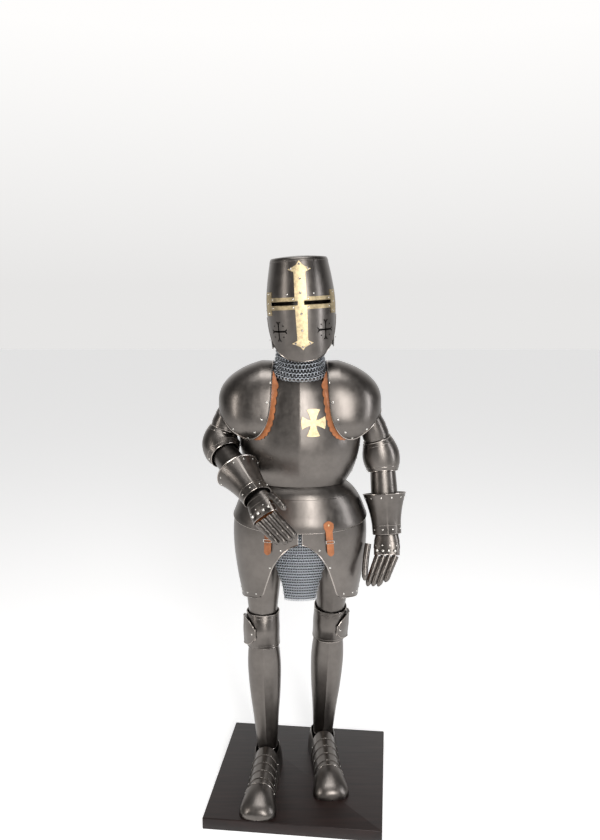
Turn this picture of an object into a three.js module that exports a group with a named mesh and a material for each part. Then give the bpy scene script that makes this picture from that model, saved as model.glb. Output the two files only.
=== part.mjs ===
// Suit of plate armour on a wooden display base, in millimetres, +Z up.
// The origin is the middle of the base's underside. The armour faces -Y and the
// wearer's left side is +X. Every plate is a thin hollow wall, open where it is worn.
import * as THREE from 'three';
import { mergeVertices } from 'three/addons/utils/BufferGeometryUtils.js';

// ---------------------------------------------------------------- driving sizes
const STEEL = 2;
const BRASS = 1.5;
const LEATHER = 2;
const MAIL = 3;
const GAP = 0.4;

const BASE = { side: 600, thick: 40, turn: -6.4 };
const STANCE = { x: -4, y: 65 };
const HELM = { x: 3, z: 1700, tilt: 3, dome: 7 };
const EYES = { low: -4, high: 9, inner: 5, outer: 54 };
const SCALLOP = { start: 16, end: 126, count: 12, depth: 8, reach: 27, under: 12 };

const COLOURS = {
  steel: { color: 0x4a4644, roughness: 0.32, metalness: 1.0 },
  brass: { color: 0xc9a55c, roughness: 0.3, metalness: 1.0 },
  bright: { color: 0xc8c4bc, roughness: 0.25, metalness: 1.0 },
  leather: { color: 0xb35a2c, roughness: 0.65, metalness: 0.0 },
  mail: { color: 0x8f9193, roughness: 0.45, metalness: 0.9 },
  wood: { color: 0x1f0f0b, roughness: 0.4, metalness: 0.0 },
};

// ---------------------------------------------------------------- tables of rings
// A table has named columns and a row for each ring. Its first column is the place
// of the ring: a height, or a length along a limb. Between rows it runs smoothly.
function table(columns, rows) {
  return { columns, rows };
}

function read(rings, name, place) {
  const rows = rings.rows;
  const column = rings.columns.indexOf(name);
  const last = rows.length - 1;
  let row = 0;
  while (row < last - 1 && place > rows[row + 1][0]) row += 1;
  const slope = (index) => {
    const before = rows[Math.max(index - 1, 0)];
    const after = rows[Math.min(index + 1, last)];
    return (after[column] - before[column]) / (after[0] - before[0]);
  };
  const span = rows[row + 1][0] - rows[row][0];
  const t = THREE.MathUtils.clamp((place - rows[row][0]) / span, 0, 1);
  const rise = rows[row + 1][column] - rows[row][column];
  const bow = t * (1 - t) * ((1 - t) * (slope(row) * span - rise) - t * (slope(row + 1) * span - rise));
  return rows[row][column] + t * rise + bow;
}

// Across and ahead distances on a ring, 0 degrees ahead and 90 to the wearer's left.
function onRing(rings, angle, place, out, square = 2.2) {
  const sine = Math.sin(THREE.MathUtils.degToRad(angle));
  const cosine = Math.cos(THREE.MathUtils.degToRad(angle));
  const reach = (Math.abs(sine) ** square + Math.abs(cosine) ** square) ** (-1 / square);
  const depth = read(rings, cosine > 0 ? 'front' : 'back', place) + out;
  return {
    across: (read(rings, 'side', place) + out) * sine * reach,
    ahead: depth * cosine * reach,
  };
}

// A point on an upright form, with a raised line down the middle of its front.
function upright(rings, angle, z, out = 0, ridge = 0) {
  const { across, ahead } = onRing(rings, angle, z, out);
  const crease = ridge * Math.exp(-Math.abs(angle) / 9);
  return new THREE.Vector3(across, -ahead - crease, z);
}

// ---------------------------------------------------------------- limbs
// A limb runs from its far end through a joint to its near end. Lengths along it
// count from the far end, and the joint is rounded over `bend` on each side.
class Limb {
  constructor(far, joint, near, { bend = 50, sideways = [1, 0, 0] } = {}) {
    this.far = new THREE.Vector3(...far);
    this.joint = new THREE.Vector3(...joint);
    this.near = new THREE.Vector3(...near);
    this.lower = this.far.distanceTo(this.joint);
    this.length = this.lower + this.joint.distanceTo(this.near);
    this.bend = bend;
    this.sideways = new THREE.Vector3(...sideways);
  }

  middle(place) {
    const past = place - this.lower;
    const down = this.far.clone().sub(this.joint).normalize();
    const up = this.near.clone().sub(this.joint).normalize();
    if (past < -this.bend) return this.joint.clone().addScaledVector(down, -past);
    if (past > this.bend) return this.joint.clone().addScaledVector(up, past);
    const t = (past + this.bend) / (2 * this.bend);
    return this.joint.clone()
      .addScaledVector(down, this.bend * (1 - t) ** 2)
      .addScaledVector(up, this.bend * t ** 2);
  }

  at(rings, angle, place, out = 0, ridge = 0) {
    const along = this.middle(place + 1).sub(this.middle(place - 1)).normalize();
    const side = this.sideways.clone().addScaledVector(along, -this.sideways.dot(along)).normalize();
    const front = side.clone().cross(along);
    const { across, ahead } = onRing(rings, angle, place, out);
    const crease = ridge * Math.exp(-Math.abs(angle) / 12);
    return this.middle(place).addScaledVector(side, across).addScaledVector(front, ahead + crease);
  }
}

// ---------------------------------------------------------------- plates
// A plate is a wall on a surface `at(u, v)` that faces out where u runs to the
// wearer's left and v runs up. Its inner skin lies `thick` inside the outer one,
// unless `inside(u, v)` gives that skin as well.
// `round` joins its two sides, `tip` names the end that closes in one point, and
// `present` leaves out cells of the grid as openings.
function plate({ at, inside, across, along, thick = STEEL, round = false, tip = '', present = () => true }) {
  const columns = round ? across.length - 1 : across.length;
  const stepU = (across[across.length - 1] - across[0]) * 1e-3;
  const stepV = (along[along.length - 1] - along[0]) * 1e-3;
  const facing = (u, v) => {
    const sideways = at(u + stepU, v).sub(at(u - stepU, v));
    const upwards = at(u, v + stepV).sub(at(u, v - stepV));
    return sideways.cross(upwards).normalize();
  };
  const skins = along.map((v, row) => {
    const first = tip === 'low' && row === 0;
    const last = tip === 'high' && row === along.length - 1;
    if (!first && !last) {
      return across.map((u) => {
        const outer = at(u, v);
        const inner = inside ? inside(u, v) : outer.clone().addScaledVector(facing(u, v), -thick);
        return { outer, inner };
      });
    }
    const near = v + (first ? 20 : -20) * stepV;
    const axis = new THREE.Vector3();
    across.slice(0, columns).forEach((u) => axis.add(facing(u, near)));
    const outer = at(across[0], v);
    const inner = outer.clone().addScaledVector(axis.normalize(), -thick);
    return across.map(() => ({ outer, inner }));
  });
  if (round) skins.forEach((row) => { row[columns] = row[0]; });

  const corners = [];
  const triangle = (a, b, c) => {
    if (a.equals(b) || b.equals(c) || c.equals(a)) return;
    corners.push(a, b, c);
  };
  const quad = (a, b, c, d) => {
    if (a.distanceTo(c) > b.distanceTo(d) + 1e-3) {
      triangle(b, c, d);
      triangle(b, d, a);
      return;
    }
    triangle(a, b, c);
    triangle(a, c, d);
  };
  const cells = across.length - 1;
  const levels = along.length - 1;
  const filled = (i, j) => {
    const cell = round ? (i + cells) % cells : i;
    if (cell < 0 || cell >= cells || j < 0 || j >= levels) return false;
    return present((across[cell] + across[cell + 1]) / 2, (along[j] + along[j + 1]) / 2);
  };
  for (let j = 0; j < levels; j += 1) {
    for (let i = 0; i < cells; i += 1) {
      if (!filled(i, j)) continue;
      const [a, b, c, d] = [skins[j][i], skins[j][i + 1], skins[j + 1][i + 1], skins[j + 1][i]];
      quad(a.outer, b.outer, c.outer, d.outer);
      quad(a.inner, d.inner, c.inner, b.inner);
      const edge = (p, q) => quad(q.outer, p.outer, p.inner, q.inner);
      if (!filled(i, j - 1) && !(tip === 'low' && j === 0)) edge(a, b);
      if (!filled(i + 1, j)) edge(b, c);
      if (!filled(i, j + 1) && !(tip === 'high' && j === levels - 1)) edge(c, d);
      if (!filled(i - 1, j)) edge(d, a);
    }
  }
  const geometry = new THREE.BufferGeometry().setFromPoints(corners);
  const merged = mergeVertices(geometry, 1e-4);
  merged.computeVertexNormals();
  return merged;
}

// Even steps from one value to another.
function steps(from, to, count) {
  return Array.from({ length: count + 1 }, (_, i) => from + ((to - from) * i) / count);
}

// The same surface and columns on the wearer's other side.
function mirrored(at) {
  return (u, v) => {
    const point = at(-u, v);
    point.x *= -1;
    return point;
  };
}

function flipped(across) {
  return across.map((u) => -u).reverse();
}

const lerp = THREE.MathUtils.lerp;
const AROUND = steps(-180, 180, 12);

function mesh(name, geometry, finish) {
  const made = new THREE.Mesh(geometry, new THREE.MeshStandardMaterial(COLOURS[finish]));
  made.name = name;
  return made;
}

// ---------------------------------------------------------------- helm
const HELM_RINGS = table(['z', 'side', 'front', 'back'], [
  [-195, 104, 122, 118],
  [-150, 110, 129, 125],
  [-70, 115, 136, 131],
  [10, 117, 139, 134],
  [80, 109, 130, 126],
  [150, 96, 114, 112],
]);
const HELM_TOP = 150;
const BAND_ANGLES = [-70, -62, -54, -37, -20, -5, 5, 20, 37, 54, 62, 70];
const FACE_ANGLES = [-84, -70, -54.3, -53.7, -37, -20, -5, 5, 20, 37, 53.7, 54.3, 70, 84];
const SKULL_ANGLES = [
  -180, -155, -130, -108, -88, -70, -54, -37, -20, -5,
  5, 20, 37, 54, 70, 88, 108, 130, 155, 180,
];
const BAND_LEVELS = [-36, -18, EYES.low, EYES.high, 22, 41];
const BACK_ANGLES = [74, 88, 108, 130, 155, 180, 205, 230, 252, 272, 286];
const CROSS_WIDTHS = table(['z', 'half'], [
  [-150, 1],
  [-141, 7],
  [-136, 16],
  [-128, 34],
  [-119, 17],
  [-60, 18],
  [EYES.low - 3, 19],
  [EYES.low, 9],
  [EYES.high, 9],
  [EYES.high + 3, 19],
  [95, 18],
  [102, 19],
  [111, 36],
  [120, 17],
  [126, 9],
  [138, 1],
]);

function faceLower(angle) {
  return -190 + 34 * (Math.abs(angle) / 48) ** 2.6;
}

function facePoint(angle, t) {
  const top = Math.abs(angle) < EYES.outer ? EYES.low : EYES.high - GAP;
  return upright(HELM_RINGS, angle, lerp(faceLower(angle), top, t));
}

function skullPoint(angle, t) {
  if (t <= 1) return upright(HELM_RINGS, angle, lerp(EYES.high, HELM_TOP, t));
  const shrink = 2 - t;
  const rim = upright(HELM_RINGS, angle, HELM_TOP);
  return new THREE.Vector3(rim.x * shrink, rim.y * shrink, HELM_TOP + HELM.dome * (1 - shrink ** 2));
}

// Half the width of the brass cross, from its table, without rounding the corners.
function crossHalf(z) {
  const rows = CROSS_WIDTHS.rows;
  const row = Math.min(rows.findIndex((entry) => z <= entry[0] + 1e-6), rows.length - 1);
  if (row <= 0) return rows[0][1];
  const [low, high] = [rows[row - 1], rows[row]];
  return lerp(low[1], high[1], (z - low[0]) / (high[0] - low[0]));
}

function helmCrossPoint(u, z) {
  const angle = THREE.MathUtils.radToDeg(Math.asin((u * crossHalf(z)) / read(HELM_RINGS, 'side', z)));
  return upright(HELM_RINGS, angle, z, 2 * BRASS + 4 * GAP);
}

function bandCell(angle, z) {
  const temple = Math.abs(angle) > EYES.outer;
  const slit = z > EYES.low && z < EYES.high && Math.abs(angle) > EYES.inner;
  const strip = z > BAND_LEVELS[1] && z < BAND_LEVELS[4];
  return temple || (strip && !slit);
}

function helm() {
  const group = new THREE.Group();
  group.position.set(HELM.x, 0, HELM.z);
  group.rotation.y = THREE.MathUtils.degToRad(-HELM.tilt);
  group.add(mesh('helm_skull', plate({
    at: skullPoint,
    across: SKULL_ANGLES,
    along: [0, 0.5, 1, 1.5, 2],
    round: true,
    tip: 'high',
  }), 'steel'));
  group.add(mesh('helm_face', plate({
    at: facePoint,
    across: FACE_ANGLES,
    along: steps(0, 1, 3),
  }), 'steel'));
  group.add(mesh('helm_back', plate({
    at: (angle, z) => upright(HELM_RINGS, angle, z, -4),
    across: BACK_ANGLES,
    along: [-150, -90, -30, 30],
  }), 'steel'));
  group.add(mesh('helm_brow_band', plate({
    at: (angle, z) => upright(HELM_RINGS, angle, z, BRASS + GAP),
    across: BAND_ANGLES,
    along: BAND_LEVELS,
    thick: BRASS,
    present: bandCell,
  }), 'brass'));
  group.add(mesh('helm_cross', plate({
    at: helmCrossPoint,
    across: [-1, 0, 1],
    along: CROSS_WIDTHS.rows.map((row) => row[0]),
    thick: BRASS,
  }), 'brass'));
  return group;
}

// ---------------------------------------------------------------- cuirass and mail
const TORSO_RINGS = table(['z', 'side', 'front', 'back'], [
  [1086, 162, 125, 98],
  [1130, 187, 141, 108],
  [1200, 206, 154, 116],
  [1260, 209, 152, 119],
  [1340, 192, 143, 116],
  [1410, 152, 125, 104],
  [1450, 112, 108, 88],
  [1480, 88, 94, 76],
]);
const CUIRASS = { low: 1086, ridge: 3, breastTop: 1448, backTop: 1452, dip: 22 };
const ARMHOLES = table(['z', 'angle'], [
  [1086, 87],
  [1210, 87],
  [1260, 78],
  [1340, 58],
  [1410, 52],
  [1480, 56],
]);
const COLLAR_RINGS = table(['z', 'side', 'front', 'back'], [
  [1440, 128, 126, 105],
  [1465, 108, 117, 97],
  [1485, 94, 107, 90],
  [1510, 84, 98, 84],
  [1545, 80, 90, 80],
  [1600, 78, 88, 80],
]);
const COLLAR = { low: 1447, high: 1595, rise: 20 };
const BREAST_CROSS = { x: 43, z: 1311, tall: 46, wide: 39, waist: 9, flare: 21 };

function breastPoint(u, z) {
  const top = u * u * CUIRASS.dip;
  const height = lerp(z, z + top, THREE.MathUtils.clamp((z - 1340) / 100, 0, 1));
  return upright(TORSO_RINGS, u * read(ARMHOLES, 'angle', z), height, 0, CUIRASS.ridge);
}

// How far the breastplate stands ahead of the body's middle at a place on it.
function breastDepth(x, z) {
  const wide = Math.min(Math.abs(x) / read(TORSO_RINGS, 'side', z), 1);
  return read(TORSO_RINGS, 'front', z) * (1 - wide ** 2.2) ** (1 / 2.2);
}

function backPoint(u, z) {
  return upright(TORSO_RINGS, 180 + u * read(ARMHOLES, 'angle', z), z);
}

// A cross pattee lies on the breast: each arm widens towards its end.
function breastCrossGeometry() {
  const shape = new THREE.Shape();
  const { tall, wide, waist, flare } = BREAST_CROSS;
  for (let turn = 0; turn < 4; turn += 1) {
    const arm = turn % 2 ? wide : tall;
    const quarter = [[waist, waist], [flare, arm], [-flare, arm], [-waist, waist]];
    quarter.slice(turn ? 1 : 0).forEach(([x, z], index) => {
      const [c, s] = [Math.cos((turn * Math.PI) / 2), Math.sin((turn * Math.PI) / 2)];
      const point = [x * c - z * s, x * s + z * c];
      if (turn === 3 && index === 2) return;
      if (turn === 0 && index === 0) shape.moveTo(...point);
      else shape.lineTo(...point);
    });
  }
  const flat = new THREE.ExtrudeGeometry(shape, { depth: BRASS, bevelEnabled: false, steps: 1 });
  flat.deleteAttribute('normal');
  flat.deleteAttribute('uv');
  const solid = mergeVertices(flat, 1e-4);
  const places = solid.getAttribute('position');
  for (let i = 0; i < places.count; i += 1) {
    const z = BREAST_CROSS.z + places.getY(i);
    const x = BREAST_CROSS.x + places.getX(i);
    const side = read(TORSO_RINGS, 'side', z);
    const angle = THREE.MathUtils.radToDeg(Math.asin(x / side));
    const out = 2 * GAP + 2 + places.getZ(i);
    places.setXYZ(i, x, upright(TORSO_RINGS, angle, z, out, CUIRASS.ridge).y, z);
  }
  return solid;
}

// The mail hangs lowest ahead and behind, and rises over the shoulders.
function collarPoint(angle, z) {
  const aside = Math.min(Math.abs(angle) / 60, 1) ** 2;
  const left = (COLLAR.high - z) / (COLLAR.high - COLLAR.low);
  return upright(COLLAR_RINGS, angle, z + COLLAR.rise * aside * left);
}

function body() {
  const group = new THREE.Group();
  group.add(mesh('breastplate', plate({
    at: breastPoint,
    across: [-1, -0.8, -0.6, -0.4, -0.2, 0, 0.2, 0.4, 0.6, 0.8, 1],
    along: [CUIRASS.low, 1130, 1180, 1240, 1300, 1370, CUIRASS.breastTop],
  }), 'steel'));
  group.add(mesh('backplate', plate({
    at: backPoint,
    across: steps(-1, 1, 8),
    along: [CUIRASS.low, 1140, 1210, 1290, 1370, CUIRASS.backTop],
  }), 'steel'));
  group.add(mesh('breast_cross', breastCrossGeometry(), 'brass'));
  group.add(mesh('mail_collar', plate({
    at: collarPoint,
    across: steps(-180, 180, 16),
    along: [COLLAR.low, 1468, 1490, 1530, COLLAR.high],
    thick: MAIL,
    round: true,
  }), 'mail'));
  return group;
}

// ---------------------------------------------------------------- skirt of plates
const SKIRT_RINGS = table(['z', 'side', 'front', 'back'], [
  [667, 214, 140, 128],
  [770, 232, 154, 140],
  [867, 242, 164, 148],
  [946, 240, 165, 146],
  [990, 226, 156, 136],
  [1030, 208, 146, 124],
  [1060, 186, 136, 110],
  [1086, 157, 120, 93],
  [1096, 151, 117, 90],
]);
const FAULD = { top: 1096, middle: 934, rise: 38, culet: 905 };
const TASSET = { out: -7, inner: 1.5, outer: 100, over: 16 };
const TASSET_EDGE = table(['angle', 'z'], [
  [0, 896],
  [10, 878],
  [22, 820],
  [31, 740],
  [37, 694],
  [55, 678],
  [80, 668],
  [104, 690],
]);
const STRAP = { half: 11, out: 3.5 };
const STRAPS = [
  { name: 'right', x: -105, high: 972, low: 857, lean: -4 },
  { name: 'left', x: 97, high: 976, low: 853, lean: 10 },
];
const SKIRT_FLAP = table(['z', 'half', 'ahead'], [
  [672, 56, 100],
  [720, 62, 106],
  [800, 84, 122],
  [880, 100, 140],
  [960, 104, 146],
]);

function fauldEdge(angle) {
  return FAULD.middle + FAULD.rise * (Math.min(Math.abs(angle), 90) / 90) ** 2;
}

function fauldPoint(angle, t) {
  return upright(SKIRT_RINGS, angle, lerp(fauldEdge(angle), FAULD.top, t));
}

function culetPoint(angle, t) {
  const low = lerp(fauldEdge(90), FAULD.culet, Math.sin(THREE.MathUtils.degToRad(angle - 90)));
  return upright(SKIRT_RINGS, angle, lerp(low, FAULD.top, t));
}

function tassetPoint(angle, t) {
  const z = lerp(read(TASSET_EDGE, 'z', angle), fauldEdge(angle) + TASSET.over, t);
  return upright(SKIRT_RINGS, angle, z, TASSET.out);
}

// A strap lies on the fauld and hangs over the tasset, with a round end.
function strapPoint(strap, u, t) {
  const rounding = Math.min(1, Math.sqrt(Math.max(0.04, 12 * t)), Math.sqrt(Math.max(0.04, 12 * (1 - t))));
  const z = lerp(strap.low, strap.high, t);
  const x = strap.x + strap.lean * (0.5 - t) + u * STRAP.half * rounding;
  const angle = THREE.MathUtils.radToDeg(Math.asin(x / read(SKIRT_RINGS, 'side', z)));
  return upright(SKIRT_RINGS, angle, z, STRAP.out);
}

function skirt() {
  const group = new THREE.Group();
  const rowsUp = [0, 0.35, 0.6, 0.8, 0.94, 1];
  group.add(mesh('fauld', plate({ at: fauldPoint, across: steps(-88, 88, 12), along: rowsUp }), 'steel'));
  group.add(mesh('culet', plate({ at: culetPoint, across: steps(92, 268, 10), along: rowsUp }), 'steel'));
  const across = [TASSET.inner, 10, 22, 31, 37, 55, 72, 86, TASSET.outer];
  const along = steps(0, 1, 4);
  group.add(mesh('tasset_left', plate({ at: tassetPoint, across, along }), 'steel'));
  group.add(mesh('tasset_right', plate({
    at: mirrored(tassetPoint),
    across: flipped(across),
    along,
  }), 'steel'));
  STRAPS.forEach((strap) => {
    group.add(mesh(`strap_${strap.name}`, plate({
      at: (u, t) => strapPoint(strap, u, t),
      across: [-1, 0, 1],
      along: [0, 0.03, 0.08, 0.3, 0.5, 0.7, 0.92, 0.97, 1],
      thick: LEATHER,
    }), 'leather'));
    group.add(mesh(`strap_keeper_${strap.name}`, plate({
      at: (u, t) => strapPoint({ ...strap, low: strap.low + 50, high: strap.low + 58 }, u * 1.2, 0.3 + 0.4 * t)
        .add(new THREE.Vector3(0, -LEATHER, 0)),
      across: [-1, 0, 1],
      along: [0, 1],
      thick: BRASS,
    }), 'bright'));
  });
  group.add(mesh('mail_skirt', plate({
    at: (u, z) => {
      const half = read(SKIRT_FLAP, 'half', z);
      return new THREE.Vector3(u * half, -read(SKIRT_FLAP, 'ahead', z) + 14 * u * u, z);
    },
    across: steps(-1, 1, 6),
    along: steps(672, 955, 5),
    thick: MAIL,
  }), 'mail'));
  return group;
}

// ---------------------------------------------------------------- shoulders
// A pauldron is a patch of a rounded block, bounded by the edge below. Its four
// corners lie at the neck and under the arm, in front and behind.
const SHOULDER = {
  x: 132,
  z: 1362,
  side: 148,
  front: 136,
  high: 142,
  square: 2.6,
  crown: 38,
  taper: 0.0015,
  droop: 0.3,
};
const CORNER = { neck: 26, arm: 112 };
const PAULDRON_EDGE = table(['turn', 'x', 'ahead', 'z'], [
  [0, 95, 0, 1504],
  [8, 95, 48, 1500],
  [18, 98, 92, 1480],
  [32, 104, 118, 1440],
  [48, 108, 130, 1390],
  [66, 114, 135, 1335],
  [84, 128, 127, 1287],
  [102, 150, 109, 1256],
  [120, 178, 99, 1247],
  [142, 222, 103, 1270],
  [164, 262, 83, 1312],
  [172, 275, 50, 1330],
  [180, 280, 0, 1342],
]);

// The direction from the block's middle to its edge. The back repeats the front.
function pauldronEdge(turn) {
  const half = ((turn + 540) % 360) - 180;
  const bare = Math.abs(half);
  const ahead = read(PAULDRON_EDGE, 'ahead', bare) * Math.sign(half);
  return new THREE.Vector3(
    read(PAULDRON_EDGE, 'x', bare) - SHOULDER.x,
    -ahead,
    read(PAULDRON_EDGE, 'z', bare) - SHOULDER.z,
  );
}

function onShoulder(direction, out) {
  const { square } = SHOULDER;
  const size = Math.abs(direction.x / (SHOULDER.side + out)) ** square
    + Math.abs(direction.y / (SHOULDER.front + out)) ** square
    + Math.abs(direction.z / (SHOULDER.high + out)) ** square;
  const point = direction.clone().multiplyScalar(size ** (-1 / square));
  point.y *= 1 - SHOULDER.taper * point.z;
  const outward = THREE.MathUtils.clamp(point.x / SHOULDER.side, 0, 1);
  if (point.z > 0) point.z *= 1 - SHOULDER.droop * outward;
  return point.add(new THREE.Vector3(SHOULDER.x, 0, SHOULDER.z));
}

// `along` runs from 0 at the neck to 1 at the arm, `ahead` from -1 behind to 1 in front.
function pauldronPoint(along, ahead, out = 0) {
  const { neck, arm } = CORNER;
  const side = Math.sign(ahead);
  const toward = (turn) => pauldronEdge(turn).normalize();
  const straight = toward(side * neck).lerp(toward(side * arm), along);
  const bulge = toward(side * lerp(neck, arm, along)).sub(straight).multiplyScalar(ahead * ahead);
  const direction = toward(ahead * neck).lerp(toward(180 + ahead * (arm - 180)), along).add(bulge);
  return onShoulder(direction.normalize(), out);
}

// A point on the block `past` beyond the edge, on a line away from the crown.
function besidePauldron(turn, past, out) {
  const angle = THREE.MathUtils.degToRad(SHOULDER.crown);
  const crown = new THREE.Vector3(Math.cos(angle), 0, Math.sin(angle));
  return onShoulder(pauldronEdge(turn).normalize().lerp(crown, -past).normalize(), out);
}

// The leather lies under the pauldron's edge and shows a row of scallops past it.
function trimPoint(turn, t) {
  const { start, end, count } = SCALLOP;
  const wave = Math.abs(Math.sin(((turn - start) / (end - start)) * count * Math.PI));
  const ends = Math.min(1, (turn - start + 2) / 14, (end + 2 - turn) / 22);
  const reach = (SCALLOP.reach - SCALLOP.depth * (1 - wave)) * ends;
  const past = lerp(reach, -SCALLOP.under, t) / SHOULDER.side;
  const point = besidePauldron(turn, past, -STEEL - 6);
  point.y = Math.min(point.y, -breastDepth(point.x, point.z) - LEATHER - 2);
  return point;
}

function shoulders() {
  const group = new THREE.Group();
  const across = steps(0, 1, 10);
  const along = steps(1, -1, 10);
  const trimAcross = steps(SCALLOP.start, SCALLOP.end, SCALLOP.count * 3);
  const inside = (u, v) => pauldronPoint(u, v, -STEEL);
  const sides = [
    { name: 'left', at: pauldronPoint, inside, across, trim: trimPoint, trimAcross },
    {
      name: 'right',
      at: mirrored(pauldronPoint),
      inside: mirrored(inside),
      across: flipped(across),
      trim: mirrored(trimPoint),
      trimAcross: flipped(trimAcross),
    },
  ];
  sides.forEach((side) => {
    group.add(mesh(`pauldron_${side.name}`, plate({
      at: side.at,
      inside: side.inside,
      across: side.across,
      along,
    }), 'steel'));
    group.add(mesh(`pauldron_trim_${side.name}`, plate({
      at: side.trim,
      across: side.trimAcross,
      along: [0, 1],
      thick: LEATHER,
    }), 'leather'));
  });
  return group;
}

// ---------------------------------------------------------------- arms
const ELBOW = 60;
const ARMS = {
  left: new Limb([305, -45, 905], [288, 12, 1172], [208, 0, 1420], { bend: ELBOW }),
  right: new Limb([-139, -246, 1087], [-285, -33, 1214], [-208, 0, 1420], { bend: ELBOW }),
};
const CUFF_RINGS = table(['s', 'side', 'front', 'back'], [
  [-6, 50, 40, 38],
  [40, 52, 43, 40],
  [90, 61, 52, 48],
  [136, 75, 64, 58],
]);
const FOREARM_RINGS = table(['s', 'side', 'front', 'back'], [
  [100, 46, 42, 40],
  [160, 46, 43, 42],
  [250, 43, 42, 42],
]);
const COUTER_RINGS = table(['s', 'side', 'front', 'back'], [
  [-60, 52, 50, 50],
  [-34, 62, 57, 62],
  [0, 65, 59, 69],
  [34, 58, 56, 61],
  [60, 48, 49, 49],
]);
const UPPER_ARM_RINGS = table(['s', 'side', 'front', 'back'], [
  [38, 43, 42, 42],
  [90, 45, 45, 45],
  [150, 36, 42, 42],
  [190, 28, 36, 36],
]);

function shifted(rings, by) {
  return table(rings.columns, rings.rows.map(([s, ...sizes]) => [s + by, ...sizes]));
}

function tube(limb, rings, from, to, rows, ridge = 0) {
  return plate({
    at: (angle, s) => limb.at(rings, angle, s, 0, ridge),
    across: AROUND,
    along: steps(from, to, rows),
    round: true,
  });
}

function arm(name) {
  const limb = ARMS[name];
  const elbow = limb.lower;
  const group = new THREE.Group();
  group.add(mesh(`gauntlet_cuff_${name}`, tube(limb, CUFF_RINGS, -6, 136, 3, 4), 'steel'));
  group.add(mesh(`vambrace_${name}`, tube(limb, FOREARM_RINGS, 108, elbow - 38, 2), 'steel'));
  const bend = shifted(COUTER_RINGS, elbow);
  group.add(mesh(`couter_${name}`, tube(limb, bend, elbow - 60, elbow + 60, 4), 'steel'));
  const upper = shifted(UPPER_ARM_RINGS, elbow);
  group.add(mesh(`rerebrace_${name}`, tube(limb, upper, elbow + 38, limb.length - 118, 2), 'steel'));
  return group;
}

// ---------------------------------------------------------------- gauntlets
const HAND_RINGS = table(['s', 'side', 'front', 'back'], [
  [-8, 44, 17, 16],
  [30, 45, 22, 19],
  [85, 36, 25, 24],
]);
const FINGER = {
  pitch: 20.6,
  narrower: 2,
  root: 9.8,
  tip: 8.4,
  sides: 6,
  wall: 1.5,
  inside: -10.8,
  short: 0.15,
};
const HANDS = {
  left: {
    wrist: [305, -45, 905],
    knuckles: [303, -72, 838],
    tips: [262, -104, 728],
    sideways: [1, -0.25, 0],
    thumb: { root: [238, -64, 868], bend: [226, -86, 815], tip: [224, -112, 752] },
  },
  right: {
    wrist: [-139, -246, 1087],
    knuckles: [-111, -302, 1040],
    tips: [-33, -354, 968],
    sideways: [0.77, 0, 0.63],
    thumb: { root: [-92, -290, 1104], bend: [-68, -318, 1096], tip: [-46, -348, 1072] },
  },
};

// A finger is a closed tapering tube of plates, bent once on its way to the tip.
function fingerGeometry(root, bend, tip, sideways) {
  const curve = new THREE.QuadraticBezierCurve3(tip, bend, root);
  const at = (angle, t) => {
    const along = curve.getTangent(THREE.MathUtils.clamp(t, 0, 1));
    const side = sideways.clone().addScaledVector(along, -sideways.dot(along)).normalize();
    const front = side.clone().cross(along);
    const round = Math.sqrt(Math.min(1, Math.max(0, t) * 9));
    const radius = lerp(FINGER.tip, FINGER.root, t) * round;
    const turn = THREE.MathUtils.degToRad(angle);
    return curve.getPoint(THREE.MathUtils.clamp(t, 0, 1))
      .addScaledVector(side, radius * Math.sin(turn))
      .addScaledVector(front, radius * Math.cos(turn));
  };
  return plate({
    at,
    across: steps(-180, 180, FINGER.sides),
    along: [0, 0.03, 0.11, 0.4, 0.7, 1],
    thick: FINGER.wall,
    round: true,
    tip: 'low',
  });
}

function gauntlet(name) {
  const hand = HANDS[name];
  const group = new THREE.Group();
  const wrist = new THREE.Vector3(...hand.wrist);
  const knuckles = new THREE.Vector3(...hand.knuckles);
  const tips = new THREE.Vector3(...hand.tips);
  const limb = new Limb(
    hand.knuckles,
    knuckles.clone().lerp(wrist, 0.5).toArray(),
    hand.wrist,
    { bend: 5, sideways: hand.sideways },
  );
  const back = wrist.clone().sub(knuckles).normalize();
  const sideways = new THREE.Vector3(...hand.sideways);
  sideways.addScaledVector(back, -sideways.dot(back)).normalize();
  group.add(mesh(`gauntlet_hand_${name}`, tube(limb, HAND_RINGS, -8, 85, 3), 'steel'));
  ['index', 'middle', 'ring', 'little'].forEach((finger, index) => {
    const place = (1.5 - index) * (name === 'right' ? 1 : -1);
    const root = knuckles.clone().addScaledVector(sideways, place * FINGER.pitch);
    root.addScaledVector(back, FINGER.inside);
    const tip = tips.clone().addScaledVector(sideways, place * (FINGER.pitch - FINGER.narrower));
    if (finger === 'little') tip.lerp(root, FINGER.short);
    const bend = root.clone().lerp(tip, 0.45).addScaledVector(sideways.clone().cross(back), 6);
    group.add(mesh(`finger_${finger}_${name}`, fingerGeometry(root, bend, tip, sideways), 'steel'));
  });
  const { root, bend, tip } = hand.thumb;
  group.add(mesh(`thumb_${name}`, fingerGeometry(
    new THREE.Vector3(...root),
    new THREE.Vector3(...bend),
    new THREE.Vector3(...tip),
    sideways,
  ), 'steel'));
  return group;
}

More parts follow.
